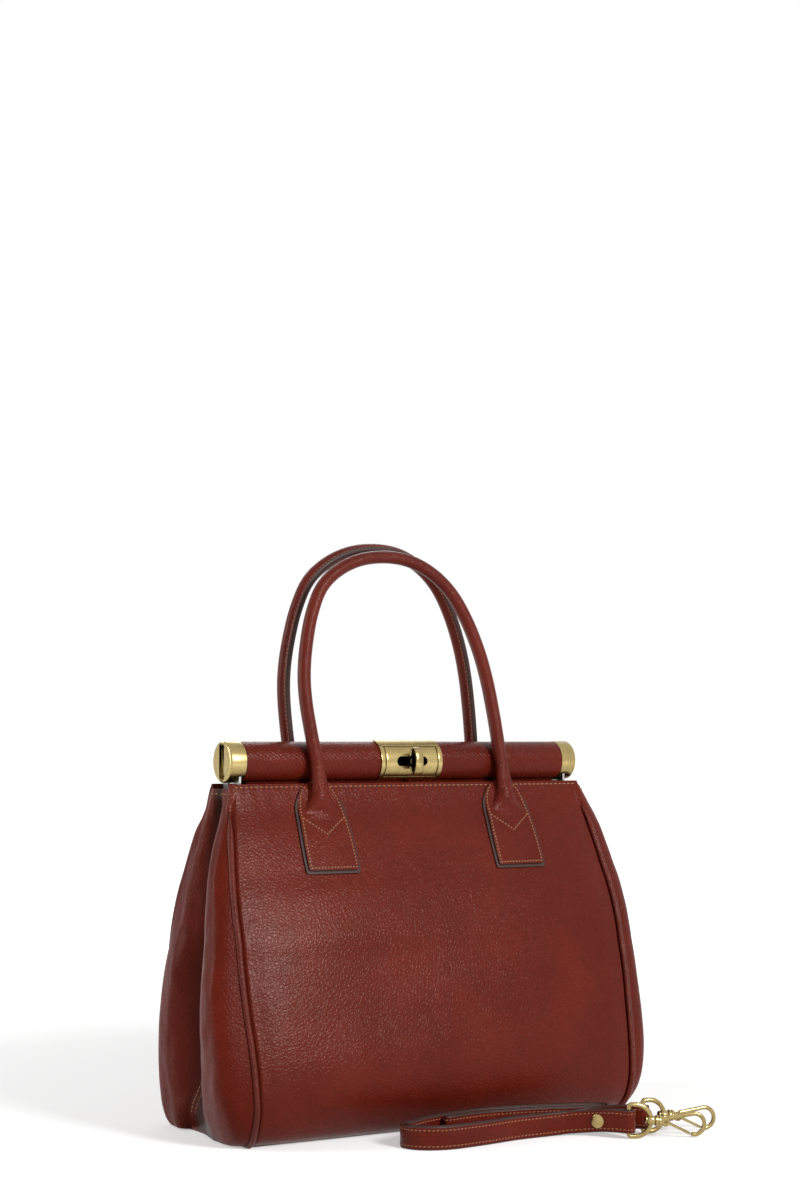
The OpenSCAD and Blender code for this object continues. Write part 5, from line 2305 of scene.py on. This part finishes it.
@dataclass
class Studio:
    """Floor, soft lights and the camera."""

    finishes: Finishes
    camera_at: tuple[float, float, float] = (-0.8496, -1.3919, 0.2739)
    azimuth: float = -31.36
    elevation: float = -3.67
    lens: float = 66.0
    room: float = 0.22
    aim: tuple[float, float, float] = (0.0, 0.0, 0.18)

    def build(self) -> None:
        """Makes the room."""
        self.floor()
        self.world()
        self.lamp("key", (0.24, -1.65, 0.92), (0.42, 0.5), 27.0)
        self.lamp("left_fill", (-1.6, 0.6, 0.7), (0.4, 1.0), 14.0)
        self.lamp("rear_rim", (0.6, 1.6, 1.4), (1.2, 0.8), 8.0)
        self.camera()

    def add(self, name: str, data: Any, at: Sequence[float], way: Vector) -> bpy.types.Object:
        """Puts something into the room, at a place and looking along a direction.

        Args:
            name: Name of the object.
            data: The lamp or camera.
            at: Where it stands, in metres.
            way: Direction that it looks.

        Returns:
            The object.
        """
        made = bpy.data.objects.new(name, data)
        made.location = at
        made.rotation_euler = way.to_track_quat("-Z", "Y").to_euler()
        bpy.context.scene.collection.objects.link(made)
        return made

    def floor(self) -> None:
        """Wide plain floor."""
        bm = bmesh.new()
        bmesh.ops.create_grid(bm, x_segments=2, y_segments=2, size=40.0)
        mesh = bpy.data.meshes.new("floor")
        bm.to_mesh(mesh)
        bm.free()
        mesh.materials.append(self.finishes.floor)
        made = bpy.data.objects.new("floor", mesh)
        bpy.context.scene.collection.objects.link(made)

    def world(self) -> None:
        """White room that lights the bag at a plain level and shows white."""
        world = bpy.data.worlds.new("room")
        world.use_nodes = True
        bpy.context.scene.world = world
        tree = Tree(world.node_tree)
        strength = tree.seen_rays() * (1.0 - self.room) + self.room
        tree.feed(tree.nodes["Background"], {"Color": WHITE, "Strength": strength})

    def lamp(self, name: str, at: Sequence[float], size: Sequence[float], power: float) -> None:
        """Soft lamp that faces the bag.

        Args:
            name: Name of the lamp.
            at: Where it stands, in metres.
            size: Width and height, in metres.
            power: Power, in watts.
        """
        light = bpy.data.lights.new(name, "AREA")
        light.shape, light.size, light.size_y, light.energy = "RECTANGLE", *size, power
        self.add(name, light, at, Vector(self.aim) - Vector(at))

    def camera(self) -> None:
        """Camera at the photograph's place and angle."""
        data = bpy.data.cameras.new("camera")
        data.lens, data.sensor_width = self.lens, 36.0
        data.clip_start, data.clip_end = 0.01, 50.0
        a, e = math.radians(self.azimuth), math.radians(self.elevation)
        back = Vector((math.sin(a) * math.cos(e), -math.cos(a) * math.cos(e), math.sin(e)))
        bpy.context.scene.camera = self.add("camera", data, self.camera_at, -back)


def main() -> None:
    """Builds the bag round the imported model."""
    logging.basicConfig(level=logging.INFO, format="%(message)s")
    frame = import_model()
    bpy.context.scene.view_settings.view_transform = "Standard"
    finishes, shape = Finishes(), BodyShape()
    Studio(finishes).build()
    Walls(shape, finishes).build()
    Tabs(shape, finishes).build()
    Handle(shape, finishes, Side.FRONT, 0.0).build()
    Handle(shape, finishes, Side.BACK, 6.5).build()
    Bars(finishes).build()
    Lock(finishes).build()
    Strap(finishes).build()
    for end in STRAP_ENDS:
        SnapHook(finishes, end).build()
    dress_kept(frame["nodes"], finishes)


if __name__ == "__main__":
    main()
